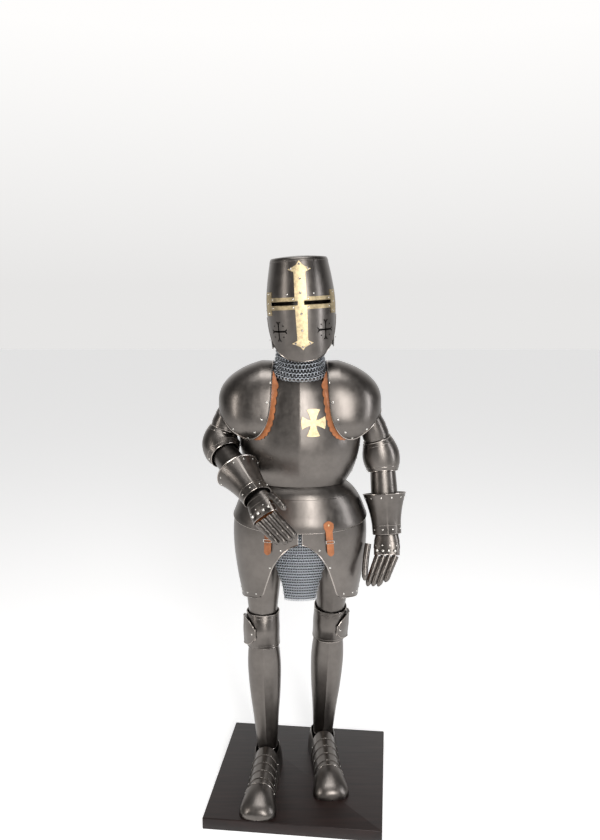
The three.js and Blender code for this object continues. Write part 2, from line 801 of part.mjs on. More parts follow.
// ---------------------------------------------------------------- legs and feet
const KNEE = 60;
const LEGS = {
  right: {
    limb: new Limb([-119, -8, 0], [-134, -14, 540], [-132, 0, 860], { bend: KNEE }),
    toe: -4.5,
    out: -1,
  },
  left: {
    limb: new Limb([85, 98, 0], [108, 46, 540], [128, 0, 860], { bend: KNEE }),
    toe: 4.5,
    out: 1,
  },
};
const GREAVE_RINGS = table(['s', 'side', 'front', 'back'], [
  [70, 36, 38, 40],
  [111, 40, 42, 45],
  [190, 46, 48, 56],
  [284, 55, 54, 68],
  [380, 60, 58, 72],
  [440, 58, 56, 66],
  [495, 51, 52, 56],
]);
const POLEYN_RINGS = table(['s', 'side', 'front', 'back'], [
  [-62, 59, 61, 64],
  [-34, 59, 70, 64],
  [0, 60, 76, 64],
  [34, 59, 70, 64],
  [62, 59, 61, 64],
]);
const CUISSE_RINGS = table(['s', 'side', 'front', 'back'], [
  [44, 51, 53, 56],
  [80, 53, 57, 62],
  [180, 64, 70, 72],
  [300, 74, 82, 82],
]);
const WING = { out: 7, from: 22, to: 128, half: 50 };
const FOOT_RINGS = table(['d', 'side', 'front', 'back'], [
  [-340, 1, 1, 0],
  [-335, 34, 20, 0],
  [-325, 52, 33, 0],
  [-305, 63, 47, 0],
  [-270, 60, 64, 0],
  [-236, 55, 73, 0],
]);
const INSTEP_RINGS = table(['d', 'side', 'front', 'back'], [
  [-244, 48, 64, 0],
  [-170, 49, 74, 0],
  [-100, 49, 86, 0],
  [-57, 50, 96, 0],
  [0, 54, 108, 0],
  [40, 44, 98, 0],
  [56, 28, 70, 0],
  [64, 1, 1, 0],
]);
const LAMES = { first: -244, pitch: 37, count: 5, lift: 2.5 };
const ANKLE = { front: -57, back: 46, half: 50 };
const SOLE = 0.4;

// A point on a foot: 0 degrees is on top and 90 at the wearer's left of the sole.
function footPoint(rings, angle, d, out = 0) {
  const { across, ahead } = onRing(rings, THREE.MathUtils.clamp(angle, -90, 90), d, out);
  return new THREE.Vector3(across, d, ahead + SOLE);
}

// Each lame rises a little from its back edge to its front edge, over the next one.
function instepPoint(angle, d) {
  const place = (d - LAMES.first) / LAMES.pitch;
  const inLames = place >= 0 && place < LAMES.count;
  const lift = inLames ? LAMES.lift * (1 - (place - Math.floor(place))) : 0;
  return footPoint(INSTEP_RINGS, angle, d, lift);
}

function lamePlaces() {
  const places = [];
  for (let lame = 0; lame < LAMES.count; lame += 1) {
    places.push(LAMES.first + lame * LAMES.pitch, LAMES.first + (lame + 1) * LAMES.pitch - 1);
  }
  return places;
}

function foot(name) {
  const { limb, toe } = LEGS[name];
  const group = new THREE.Group();
  group.position.set(limb.far.x, limb.far.y, 0);
  group.rotation.z = THREE.MathUtils.degToRad(toe);
  const across = [-90, -68, -ANKLE.half, -22, 0, 22, ANKLE.half, 68, 90];
  group.add(mesh(`toe_cap_${name}`, plate({
    at: (angle, d) => footPoint(FOOT_RINGS, angle, d),
    across,
    along: [-340, -335, -325, -305, -270, -236],
    tip: 'low',
  }), 'steel'));
  group.add(mesh(`sabaton_${name}`, plate({
    at: instepPoint,
    across,
    along: [...lamePlaces(), ANKLE.front, ANKLE.back, 56, 64],
    tip: 'high',
    present: (angle, d) => !(d > ANKLE.front && d < ANKLE.back && Math.abs(angle) < ANKLE.half),
  }), 'steel'));
  return group;
}

function wingPoint(limb, side, u, t) {
  const angle = lerp(WING.from, WING.to, (u + 1) / 2);
  const tall = WING.half * Math.sqrt(Math.max(1 - u * u, 0.15));
  const s = limb.lower + (2 * t - 1) * tall;
  return limb.at(shifted(POLEYN_RINGS, limb.lower), side * angle, s, WING.out);
}

function leg(name) {
  const { limb, out } = LEGS[name];
  const knee = limb.lower;
  const group = new THREE.Group();
  group.add(mesh(`greave_${name}`, tube(limb, GREAVE_RINGS, 70, 495, 6, 6), 'steel'));
  const cap = shifted(POLEYN_RINGS, knee);
  const thigh = shifted(CUISSE_RINGS, knee);
  group.add(mesh(`poleyn_${name}`, tube(limb, cap, knee - 62, knee + 62, 4), 'steel'));
  group.add(mesh(`cuisse_${name}`, tube(limb, thigh, knee + 44, knee + 300, 4, 3), 'steel'));
  const across = [-1, -0.85, -0.5, 0, 0.5, 0.85, 1];
  const wing = out > 0
    ? (u, t) => wingPoint(limb, 1, u, t)
    : (u, t) => wingPoint(limb, -1, -u, t);
  group.add(mesh(`poleyn_wing_${name}`, plate({ at: wing, across, along: steps(0, 1, 4) }), 'steel'));
  return group;
}

// ---------------------------------------------------------------- the whole suit
function displayBase() {
  const board = mesh('display_base', new THREE.BoxGeometry(BASE.side, BASE.side, BASE.thick), 'wood');
  board.position.z = BASE.thick / 2;
  board.rotation.z = THREE.MathUtils.degToRad(BASE.turn);
  return board;
}

const suit = new THREE.Group();
suit.position.set(STANCE.x, STANCE.y, BASE.thick);
suit.add(helm(), body(), skirt(), shoulders());
['left', 'right'].forEach((name) => suit.add(arm(name), gauntlet(name), leg(name), foot(name)));

const armour = new THREE.Group();
armour.add(displayBase(), suit);

export default armour;
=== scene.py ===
import math

import bpy
import numpy as np
from bpy.props import FloatProperty, FloatVectorProperty, PointerProperty
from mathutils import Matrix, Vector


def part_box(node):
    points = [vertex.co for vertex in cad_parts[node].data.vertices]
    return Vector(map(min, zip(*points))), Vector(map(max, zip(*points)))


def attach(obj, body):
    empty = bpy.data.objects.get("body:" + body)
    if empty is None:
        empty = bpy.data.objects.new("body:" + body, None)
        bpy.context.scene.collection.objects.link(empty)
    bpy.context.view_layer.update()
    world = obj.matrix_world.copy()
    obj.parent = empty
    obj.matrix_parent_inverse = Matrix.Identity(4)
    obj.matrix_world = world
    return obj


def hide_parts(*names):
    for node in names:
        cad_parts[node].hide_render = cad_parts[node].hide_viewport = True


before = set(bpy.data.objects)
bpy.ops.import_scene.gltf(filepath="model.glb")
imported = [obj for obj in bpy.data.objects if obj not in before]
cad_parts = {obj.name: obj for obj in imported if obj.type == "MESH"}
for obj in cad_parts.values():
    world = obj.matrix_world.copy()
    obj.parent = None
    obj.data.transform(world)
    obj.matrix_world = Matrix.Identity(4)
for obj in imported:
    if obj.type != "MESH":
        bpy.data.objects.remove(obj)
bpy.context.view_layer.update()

bl_info = {
    "name": "Suit of Plate Armour",
    "version": (1, 0, 0),
    "blender": (4, 5, 0),
    "location": "3D View > Sidebar > Armour",
    "description": "Builds a suit of plate armour with a great helm on its wooden display base",
    "category": "Object",
}

# ---------------------------------------------------------------- driving sizes, in millimetres
MM = 0.001
STEEL, BRASS, LEATHER, GAP = 2.0, 1.5, 2.0, 0.4
BASE = {"side": 600, "turn": -6.4, "bevel": 3.0}
BASE_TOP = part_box("display_base")[1].z / MM
SUIT = np.array([-4.0, 65.0, BASE_TOP])
HELM = {"x": 3, "z": 1700, "tilt": 3, "dome": 7}
HELM_TOP = 150
EYES = {"low": -4, "high": 9, "inner": 5, "outer": 54}
SCALLOP = {"start": 16, "end": 140, "count": 14, "depth": 9, "reach": 38, "under": 14}


class Rings:
    """Named sizes of a form's rings, read smoothly between its rows."""

    def __init__(self, columns, rows):
        self.columns = columns.split()
        self.rows = np.array(rows, float)

    def read(self, name, place):
        places, sizes = self.rows[:, 0], self.rows[:, self.columns.index(name)]
        last = len(places) - 1
        row = np.clip(np.searchsorted(places, place, side="left") - 1, 0, last - 1)
        count = np.arange(last + 1)
        before, after = np.maximum(count - 1, 0), np.minimum(count + 1, last)
        slope = (sizes[after] - sizes[before]) / (places[after] - places[before])
        span = places[row + 1] - places[row]
        t = np.clip((place - places[row]) / span, 0, 1)
        rise = sizes[row + 1] - sizes[row]
        bow = (1 - t) * (slope[row] * span - rise) - t * (slope[row + 1] * span - rise)
        return sizes[row] + t * rise + t * (1 - t) * bow

    def moved(self, by):
        rows = self.rows.copy()
        rows[:, 0] += by
        return Rings(" ".join(self.columns), rows)


# ---------------------------------------------------------------- surfaces
def unit(vectors):
    return vectors / np.maximum(np.linalg.norm(vectors, axis=-1, keepdims=True), 1e-9)


def stack(*values):
    return np.stack(np.broadcast_arrays(*values), -1).astype(float)


def mix(a, b, t):
    return a + (b - a) * t


def on_ring(rings, angle, place, out=0.0, square=2.2):
    """Distances across and ahead on a ring: 0 degrees is ahead, 90 the wearer's left."""
    sine, cosine = np.sin(np.radians(angle)), np.cos(np.radians(angle))
    reach = (np.abs(sine) ** square + np.abs(cosine) ** square) ** (-1 / square)
    depth = np.where(cosine > 0, rings.read("front", place), rings.read("back", place)) + out
    return (rings.read("side", place) + out) * sine * reach, depth * cosine * reach


def upright(rings, angle, z, out=0.0, ridge=0.0):
    """A point on an upright form, with a raised line down the middle of its front."""
    across, ahead = on_ring(rings, angle, z, out)
    return stack(across, -ahead - ridge * np.exp(-np.abs(angle) / 9), z)


class Limb:
    """A path from a limb's far end through a rounded joint to its near end."""

    def __init__(self, far, joint, near, bend, sideways=(1, 0, 0)):
        self.far, self.joint, self.near = (np.array(p, float) for p in (far, joint, near))
        self.lower = np.linalg.norm(self.far - self.joint)
        self.bend = bend
        self.sideways = np.array(sideways, float)

    def middle(self, place):
        past = np.asarray(place, float)[..., None] - self.lower
        down, up = unit(self.far - self.joint), unit(self.near - self.joint)
        t = (past + self.bend) / (2 * self.bend)
        rounded = down * self.bend * (1 - t) ** 2 + up * self.bend * t ** 2
        straight = np.where(past < 0, -past * down, past * up)
        return self.joint + np.where(np.abs(past) > self.bend, straight, rounded)

    def frame(self, place):
        place = np.asarray(place, float)
        along = unit(self.middle(place + 1) - self.middle(place - 1))
        lean = (along * self.sideways).sum(-1, keepdims=True)
        side = unit(self.sideways - along * lean)
        return side, np.cross(side, along), along

    def at(self, rings, angle, place, out=0.0, ridge=0.0):
        side, front, _ = self.frame(place)
        across, ahead = on_ring(rings, angle, place, out)
        crease = ridge * np.exp(-np.abs(angle) / 12)
        return self.middle(place) + side * across[..., None] + front * (ahead + crease)[..., None]


def facing(at, u, v, du=0.1, dv=0.1):
    """The outward direction of a surface at(u, v)."""
    return unit(np.cross(at(u + du, v) - at(u - du, v), at(u, v + dv) - at(u, v - dv)))


# ---------------------------------------------------------------- shapes: (points, lists of faces)
def compact(points, faces):
    used = np.unique(np.concatenate([face.ravel() for face in faces]))
    place = np.zeros(len(points), int)
    place[used] = np.arange(len(used))
    return points[used], [place[face] for face in faces]


def join(*shapes):
    points, faces, count = [], [], 0
    for shape in shapes:
        points.append(shape[0])
        faces += [face + count for face in shape[1] if len(face)]
        count += len(shape[0])
    return np.concatenate(points), faces


def mirror(shape):
    return shape[0] * [-1, 1, 1], [face[:, ::-1] for face in shape[1]]


def moved(shape, how):
    return how(shape[0]), shape[1]


def plate(at, across, along, thick=STEEL, closed=False, cap=False, keep=None, inside=None):
    """A wall on the surface at(u, v), which faces out where u runs left and v runs up.

    `closed` joins its two sides, `cap` closes its last row with one face, and
    `keep` leaves out cells of the grid as openings."""
    across, along = np.asarray(across, float), np.asarray(along, float)
    du, dv = (across[-1] - across[0]) * 1e-3, (along[-1] - along[0]) * 1e-3
    middles = np.meshgrid((across[:-1] + across[1:]) / 2, (along[:-1] + along[1:]) / 2)
    u, v = np.meshgrid(across[:-1] if closed else across, along)
    outer = at(u, v)
    inner = outer - thick * facing(at, u, v, du, dv) if inside is None else inside(u, v)
    index = np.arange(u.size).reshape(u.shape)
    if closed:
        index = np.concatenate([index, index[:, :1]], 1)
    a, b, c, d = index[:-1, :-1], index[:-1, 1:], index[1:, 1:], index[1:, :-1]
    filled = np.ones(a.shape, bool) if keep is None else keep(*middles)
    skin = u.size

    def quads(mask, *corners):
        return stack(*corners)[mask].astype(int)

    ring = np.pad(filled, 1)
    if closed:
        ring[1:-1, 0], ring[1:-1, -1] = filled[:, -1], filled[:, 0]
    if cap:
        ring[-1, :] = True
    low, high = filled & ~ring[:-2, 1:-1], filled & ~ring[2:, 1:-1]
    left, right = filled & ~ring[1:-1, :-2], filled & ~ring[1:-1, 2:]
    faces = [quads(filled, a, b, c, d), quads(filled, a + skin, d + skin, c + skin, b + skin)]
    for mask, p, q in ((low, a, b), (right, b, c), (high, c, d), (left, d, a)):
        faces.append(quads(mask, q, p, p + skin, q + skin))
    if cap:
        top = index[-1:, :-1]
        faces += [top, top[:, ::-1] + skin]
    points = np.concatenate([outer.reshape(-1, 3), inner.reshape(-1, 3)])
    return compact(points, [face for face in faces if len(face)])


def bead(path, normals, radius, closed=False, sides=6):
    """A rolled edge or a wire: a round bar along a path."""
    if closed:
        along = np.roll(path, -1, 0) - np.roll(path, 1, 0)
    else:
        along = np.gradient(path, axis=0)
    along = unit(along)
    side = unit(np.cross(along, normals))
    up = np.cross(side, along)
    turn = np.arange(sides) * math.tau / sides
    rim = radius * (np.cos(turn)[:, None] * up[:, None] + np.sin(turn)[:, None] * side[:, None])
    points = (path[:, None] + rim).reshape(-1, 3)
    index = np.arange(len(points)).reshape(-1, sides)
    index = np.concatenate([index, index[:, :1]], 1)
    ends = [] if closed else [index[:1, :-1], index[-1:, -2::-1]]
    if closed:
        index = np.concatenate([index, index[:1]])
    a, b, c, d = index[:-1, :-1], index[1:, :-1], index[1:, 1:], index[:-1, 1:]
    return points, [stack(a, b, c, d).reshape(-1, 4).astype(int), *ends]


def edge(at, u, v, radius, out=0.0, closed=False):
    """A bead along the line (u, v) of a surface, sunk into it by `out` below its face."""
    u, v = np.broadcast_arrays(np.asarray(u, float), np.asarray(v, float))
    normals = facing(at, u, v, 1e-3 * max(np.ptp(u), 1), 1e-3 * max(np.ptp(v), 1))
    return bead(at(u, v) - normals * (STEEL / 2 - out), normals, radius, closed)


def frames(normals):
    """Two directions square to each normal."""
    steep = np.abs(normals[:, 2:]) > 0.9
    first = unit(np.cross(normals, np.where(steep, [[1.0, 0, 0]], [[0, 0, 1.0]])))
    return first, np.cross(normals, first)


def domes(points, normals, radius, height, sides=12, levels=3):
    """Rivet heads: a low dome on each point."""
    points, normals = np.asarray(points, float), unit(np.asarray(normals, float))
    first, second = frames(normals)
    turn, rise = np.arange(sides) * math.tau / sides, np.arange(levels) * math.pi / 2 / levels
    turn, rise = np.meshgrid(turn, rise)
    local = stack(radius * np.cos(rise) * np.cos(turn), radius * np.cos(rise) * np.sin(turn),
                  height * np.sin(rise)).reshape(-1, 3)
    local[:sides, 2] -= 0.5
    heads = (points[:, None] + local[None, :, :1] * first[:, None]
             + local[None, :, 1:2] * second[:, None] + local[None, :, 2:] * normals[:, None])
    tips = points + normals * height
    each = len(local)
    index = np.arange(each).reshape(levels, sides)
    index = np.concatenate([index, index[:, :1]], 1)
    a, b, c, d = index[:-1, :-1], index[:-1, 1:], index[1:, 1:], index[1:, :-1]
    start = (np.arange(len(points)) * each)[:, None, None]
    quads = (stack(a, b, c, d).reshape(1, -1, 4).astype(int) + start).reshape(-1, 4)
    rim = np.stack([index[-1, :-1], index[-1, 1:], np.zeros(sides, int)], -1)[None] + start
    rim[..., 2] = len(points) * each + np.arange(len(points))[:, None]
    return np.concatenate([heads.reshape(-1, 3), tips]), [quads, rim.reshape(-1, 3)]


def rivets(at, spots, radius, height=None, out=0.0):
    """Rivet heads at places (u, v) of a surface."""
    u, v = np.array(spots, float).T
    normals = facing(at, u, v)
    return domes(at(u, v) + normals * out, normals, radius, height or radius * 0.6)


def links(at, rows, radius, wire, tilt=32, sides=8, ring=4):
    """Mail: rows of (u values, v), whose rings lean up in one row and down in the next."""
    u = np.concatenate([np.asarray(row[0], float) for row in rows])
    v = np.concatenate([np.full(len(row[0]), row[1], float) for row in rows])
    lean = np.radians(np.concatenate([np.full(len(row[0]), tilt if i % 2 else -tilt)
                                      for i, row in enumerate(rows)]))[:, None]
    normals = facing(at, u, v)
    side = unit(at(u + 0.1, v) - at(u - 0.1, v))
    up = np.cross(normals, side)
    axis = normals * np.cos(lean) + up * np.sin(lean)
    other = np.cross(axis, side)
    big, small = np.meshgrid(np.arange(sides) * math.tau / sides, np.arange(ring) * math.tau / ring,
                             indexing="ij")
    reach = radius + wire * np.cos(small)
    local = stack(reach * np.cos(big), reach * np.sin(big), wire * np.sin(small)).reshape(-1, 3)
    centre = at(u, v)
    points = (centre[:, None] + local[None, :, :1] * side[:, None]
              + local[None, :, 1:2] * other[:, None] + local[None, :, 2:] * axis[:, None])
    index = np.arange(sides * ring).reshape(sides, ring)
    after, beside = np.roll(index, -1, 0), np.roll(index, -1, 1)
    corner = np.roll(after, -1, 1)
    quads = stack(index, after, corner, beside).reshape(1, -1, 4).astype(int)
    start = (np.arange(len(u)) * sides * ring)[:, None, None]
    return points.reshape(-1, 3), [(quads + start).reshape(-1, 4)]


# ---------------------------------------------------------------- shader maths
class Value:
    """A socket's value. An expression on values adds its Math nodes."""

    def __init__(self, finish, socket):
        self.finish, self.socket = finish, socket

    def math(self, operation, first, second=0.0):
        return self.finish.node("ShaderNodeMath", {"operation": operation}, {0: first, 1: second})

    def __add__(self, other):
        return self.math("ADD", self, other)

    def __sub__(self, other):
        return self.math("SUBTRACT", self, other)

    def __rsub__(self, other):
        return self.math("SUBTRACT", other, self)

    def __mul__(self, other):
        return self.math("MULTIPLY", self, other)

    def __truediv__(self, other):
        return self.math("DIVIDE", self, other)

    def __rtruediv__(self, other):
        return self.math("DIVIDE", other, self)

    def __pow__(self, other):
        return self.math("POWER", self, other)

    __radd__ = __add__
    __rmul__ = __mul__


class Finish:
    """One material: its shader's fixed values and the nodes that vary them."""

    def __init__(self, name, colour, **fixed):
        self.material = bpy.data.materials.new(name)
        self.material.use_nodes = True
        self.tree = self.material.node_tree
        self.shader = self.tree.nodes["Principled BSDF"]
        self.colour = tuple(colour)[:3] + (1.0,)
        self.set("Base Color", self.colour)
        for socket, value in fixed.items():
            self.set(socket.replace("_", " "), value)
        self.place = self.node("ShaderNodeTexCoord", {}, {}, "Object")

    def feed(self, socket, value):
        if isinstance(value, Value):
            self.tree.links.new(value.socket, socket)
        else:
            socket.default_value = value

    def node(self, kind, settings, inputs, output=0):
        made = self.tree.nodes.new(kind)
        for name, value in settings.items():
            if name == "stops":
                for element, (position, colour) in zip(made.color_ramp.elements, value):
                    element.position, element.color = position, colour
            else:
                setattr(made, name, value)
        for name, value in inputs.items():
            self.feed(made.inputs[name], value)
        return Value(self, made.outputs[output])

    def set(self, socket, value):
        self.feed(self.shader.inputs[socket], value)

    def noise(self, scale, detail=3.0, stretch=(1, 1, 1), roughness=0.5):
        place = self.node("ShaderNodeMapping", {}, {"Vector": self.place, "Scale": stretch})
        return self.node("ShaderNodeTexNoise", {}, {
            "Vector": place, "Scale": scale, "Detail": detail, "Roughness": roughness})

    def ramp(self, value, low, high):
        """The value, 0 below `low` and 1 above `high`."""
        return self.node("ShaderNodeMapRange", {"clamp": True}, {
            "Value": value, "From Min": low, "From Max": high})

    def shade(self, amount, first, second):
        """A colour between two, by a value."""
        return self.node("ShaderNodeMix", {"data_type": "RGBA"}, {
            0: amount, 6: tuple(first)[:3] + (1.0,) if not isinstance(first, Value) else first,
            7: tuple(second)[:3] + (1.0,)}, 2)

    def bump(self, height, strength, distance=0.001):
        self.set("Normal", self.node("ShaderNodeBump", {}, {
            "Height": height, "Strength": strength, "Distance": distance}))


def scaled(colour, by):
    return tuple(min(1.0, channel * by) for channel in tuple(colour)[:3])


# ---------------------------------------------------------------- finishes
FINISHES = {}


def plate_steel(name, colour, roughness, wear=0.16):
    made = Finish(name, colour, Metallic=1.0)
    cloud, stain = made.noise(7.0, 4.0), made.noise(42.0, 5.0, roughness=0.65)
    brush = made.noise(60.0, 3.0, stretch=(1, 1, 0.1))
    amount = made.ramp(cloud * 0.6 + stain * 0.4, 0.36, 0.64)
    made.set("Base Color", made.shade(amount, scaled(colour, 0.82), scaled(colour, 1.14)))
    made.set("Roughness", (stain - 0.5) * wear + (brush - 0.5) * wear + roughness)
    made.bump(brush * 0.5 + stain * 0.5, 0.12, 0.0006)
    return made.material


def brass_finish(name, colour):
    made = Finish(name, colour, Metallic=1.0)
    stain = made.noise(90.0, 4.0, roughness=0.6)
    made.set("Base Color", made.shade(made.ramp(stain, 0.35, 0.7), scaled(colour, 0.72), scaled(colour, 1.2)))
    made.set("Roughness", (stain - 0.5) * 0.25 + 0.5)
    made.bump(stain, 0.1, 0.0004)
    return made.material


def leather_finish(name, colour):
    made = Finish(name, colour, Coat_Weight=0.12)
    grain = made.node("ShaderNodeTexVoronoi", {"feature": "DISTANCE_TO_EDGE"},
                      {"Vector": made.place, "Scale": 420.0})
    stain = made.noise(30.0, 5.0, roughness=0.6)
    worn = made.ramp(stain, 0.32, 0.68)
    made.set("Base Color", made.shade(worn, scaled(colour, 0.62), scaled(colour, 1.18)))
    made.set("Roughness", 0.72 - stain * 0.3)
    made.bump(made.ramp(grain, 0.0, 0.12) * 0.6 + stain * 0.4, 0.35, 0.0006)
    return made.material


def wood_finish(name, colour):
    made = Finish(name, colour, Coat_Weight=0.1, Coat_Roughness=0.3, Specular_IOR_Level=0.3)
    grain = made.noise(26.0, 6.0, stretch=(0.16, 2.2, 1.0), roughness=0.6)
    fine = made.noise(160.0, 3.0, stretch=(0.08, 1.6, 1.0))
    made.set("Base Color", made.shade(made.ramp(grain, 0.36, 0.66), scaled(colour, 0.6), scaled(colour, 1.6)))
    made.set("Roughness", fine * 0.2 + 0.3)
    made.bump(grain * 0.4 + fine * 0.6, 0.16, 0.0006)
    return made.material


def plain_finish(name, colour, roughness, metallic=0.0):
    return Finish(name, colour, Roughness=roughness, Metallic=metallic).material


def finish(name):
    """The material of that name, made once from the panel's colours."""
    if name not in FINISHES:
        look = bpy.context.scene.armour_colours
        FINISHES[name] = {
            "dark steel": lambda: plate_steel(name, look.steel, 0.33),
            "edge steel": lambda: plate_steel(name, scaled(look.steel, 2.4), 0.24, 0.1),
            "bright steel": lambda: plate_steel(name, look.bright, 0.26, 0.1),
            "mail rings": lambda: plain_finish(name, look.mail, 0.34, 1.0),
            # Near-black finish for the sheet behind the mail rings: painted shadow of the gaps between the
            # rings.
            "mail shadow": lambda: plain_finish(name, scaled(look.mail, 0.03), 0.8),
            "brass": lambda: brass_finish(name, look.brass),
            # Brass darkened to 0.62 for the brow band: painted shade for the dark surroundings that the band
            # reflects.
            "brass in painted shade": lambda: brass_finish(name, scaled(look.brass, 0.62)),
            "leather": lambda: leather_finish(name, look.leather),
            "dark wood": lambda: wood_finish(name, look.wood),
        }[name]()
    return FINISHES[name]


# ---------------------------------------------------------------- pieces
def piece(name, layers, nodes=(), crease=38.0, place=True):
    """An object of (finish, shape) layers, in place on the root body."""
    points, faces, marks, count = [], [], [], 0
    for number, (_, shape) in enumerate(layers):
        points.append(shape[0])
        for face in shape[1]:
            faces += (face + count).tolist()
            marks += [number] * len(face)
        count += len(shape[0])
    points = (np.concatenate(points) + (SUIT if place else 0)) * MM
    mesh = bpy.data.meshes.new(name)
    mesh.from_pydata(points.tolist(), [], faces)
    for made, _ in layers:
        mesh.materials.append(finish(made))
    mesh.polygons.foreach_set("material_index", marks)
    mesh.polygons.foreach_set("use_smooth", [True] * len(marks))
    mesh.update()
    mesh.set_sharp_from_angle(angle=math.radians(crease))
    made = bpy.data.objects.new(name, mesh)
    bpy.context.scene.collection.objects.link(made)
    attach(made, "root")
    if nodes:
        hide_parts(*nodes)
    return made


def steps(start, end, count):
    return np.linspace(start, end, count + 1)


def steel(name, shell, edges):
    """A plate of dark steel with its brighter edges, which replaces the solid of its name."""
    return piece(name, [("dark steel", shell), ("edge steel", edges)], [name])


def sizes():
    return bpy.context.scene.armour_sizes


# ---------------------------------------------------------------- helm
HELM_RINGS = Rings("z side front back", [
    (-195, 104, 122, 118), (-150, 110, 129, 125), (-70, 115, 136, 131),
    (10, 117, 139, 134), (80, 109, 130, 126), (150, 96, 114, 112)])
CROSS_WIDTHS = [
    (-150, 1), (-141, 7), (-136, 16), (-128, 34), (-119, 17), (-60, 18), (-7, 19), (-4, 9),
    (9, 9), (12, 19), (95, 18), (102, 19), (111, 36), (120, 17), (126, 9), (138, 1)]
BAND = {"low": -36, "high": 41, "strip_low": -18, "strip_high": 22, "end": 70}
BREATH = {"angle": 41, "z": -88, "arm": 32, "wide": 2.6, "fork": 7.0, "flare": 22, "hole": 2.6}


def helm_tilt(points):
    turn = math.radians(-HELM["tilt"])
    x, y, z = points.T
    return stack(x * math.cos(turn) + z * math.sin(turn) + HELM["x"], y,
                 z * math.cos(turn) - x * math.sin(turn) + HELM["z"])


def face_lower(angle):
    return -190 + 34 * (np.abs(angle) / 48) ** 2.6


def breath_open(angle, z):
    """Where the breathing slots and holes go through the cheeks."""
    across = np.radians(np.abs(angle) - BREATH["angle"]) * 117
    up = z - BREATH["z"]
    opened = np.zeros(across.shape, bool)
    for along, beside in ((across, up), (up, across)):
        flare = np.clip((np.abs(along) - BREATH["flare"]) / (BREATH["arm"] - BREATH["flare"]), 0, 1)
        notch = (np.abs(along) > BREATH["arm"] - 4) & (np.abs(beside) < 1.6)
        wide = BREATH["wide"] + BREATH["fork"] * flare ** 1.5
        opened |= (np.abs(beside) < wide) & (np.abs(along) < BREATH["arm"]) & ~notch
    for x in (-18, 18):
        for y in (-18, 18):
            opened |= np.hypot(across - x, up - y) < BREATH["hole"]
    return opened


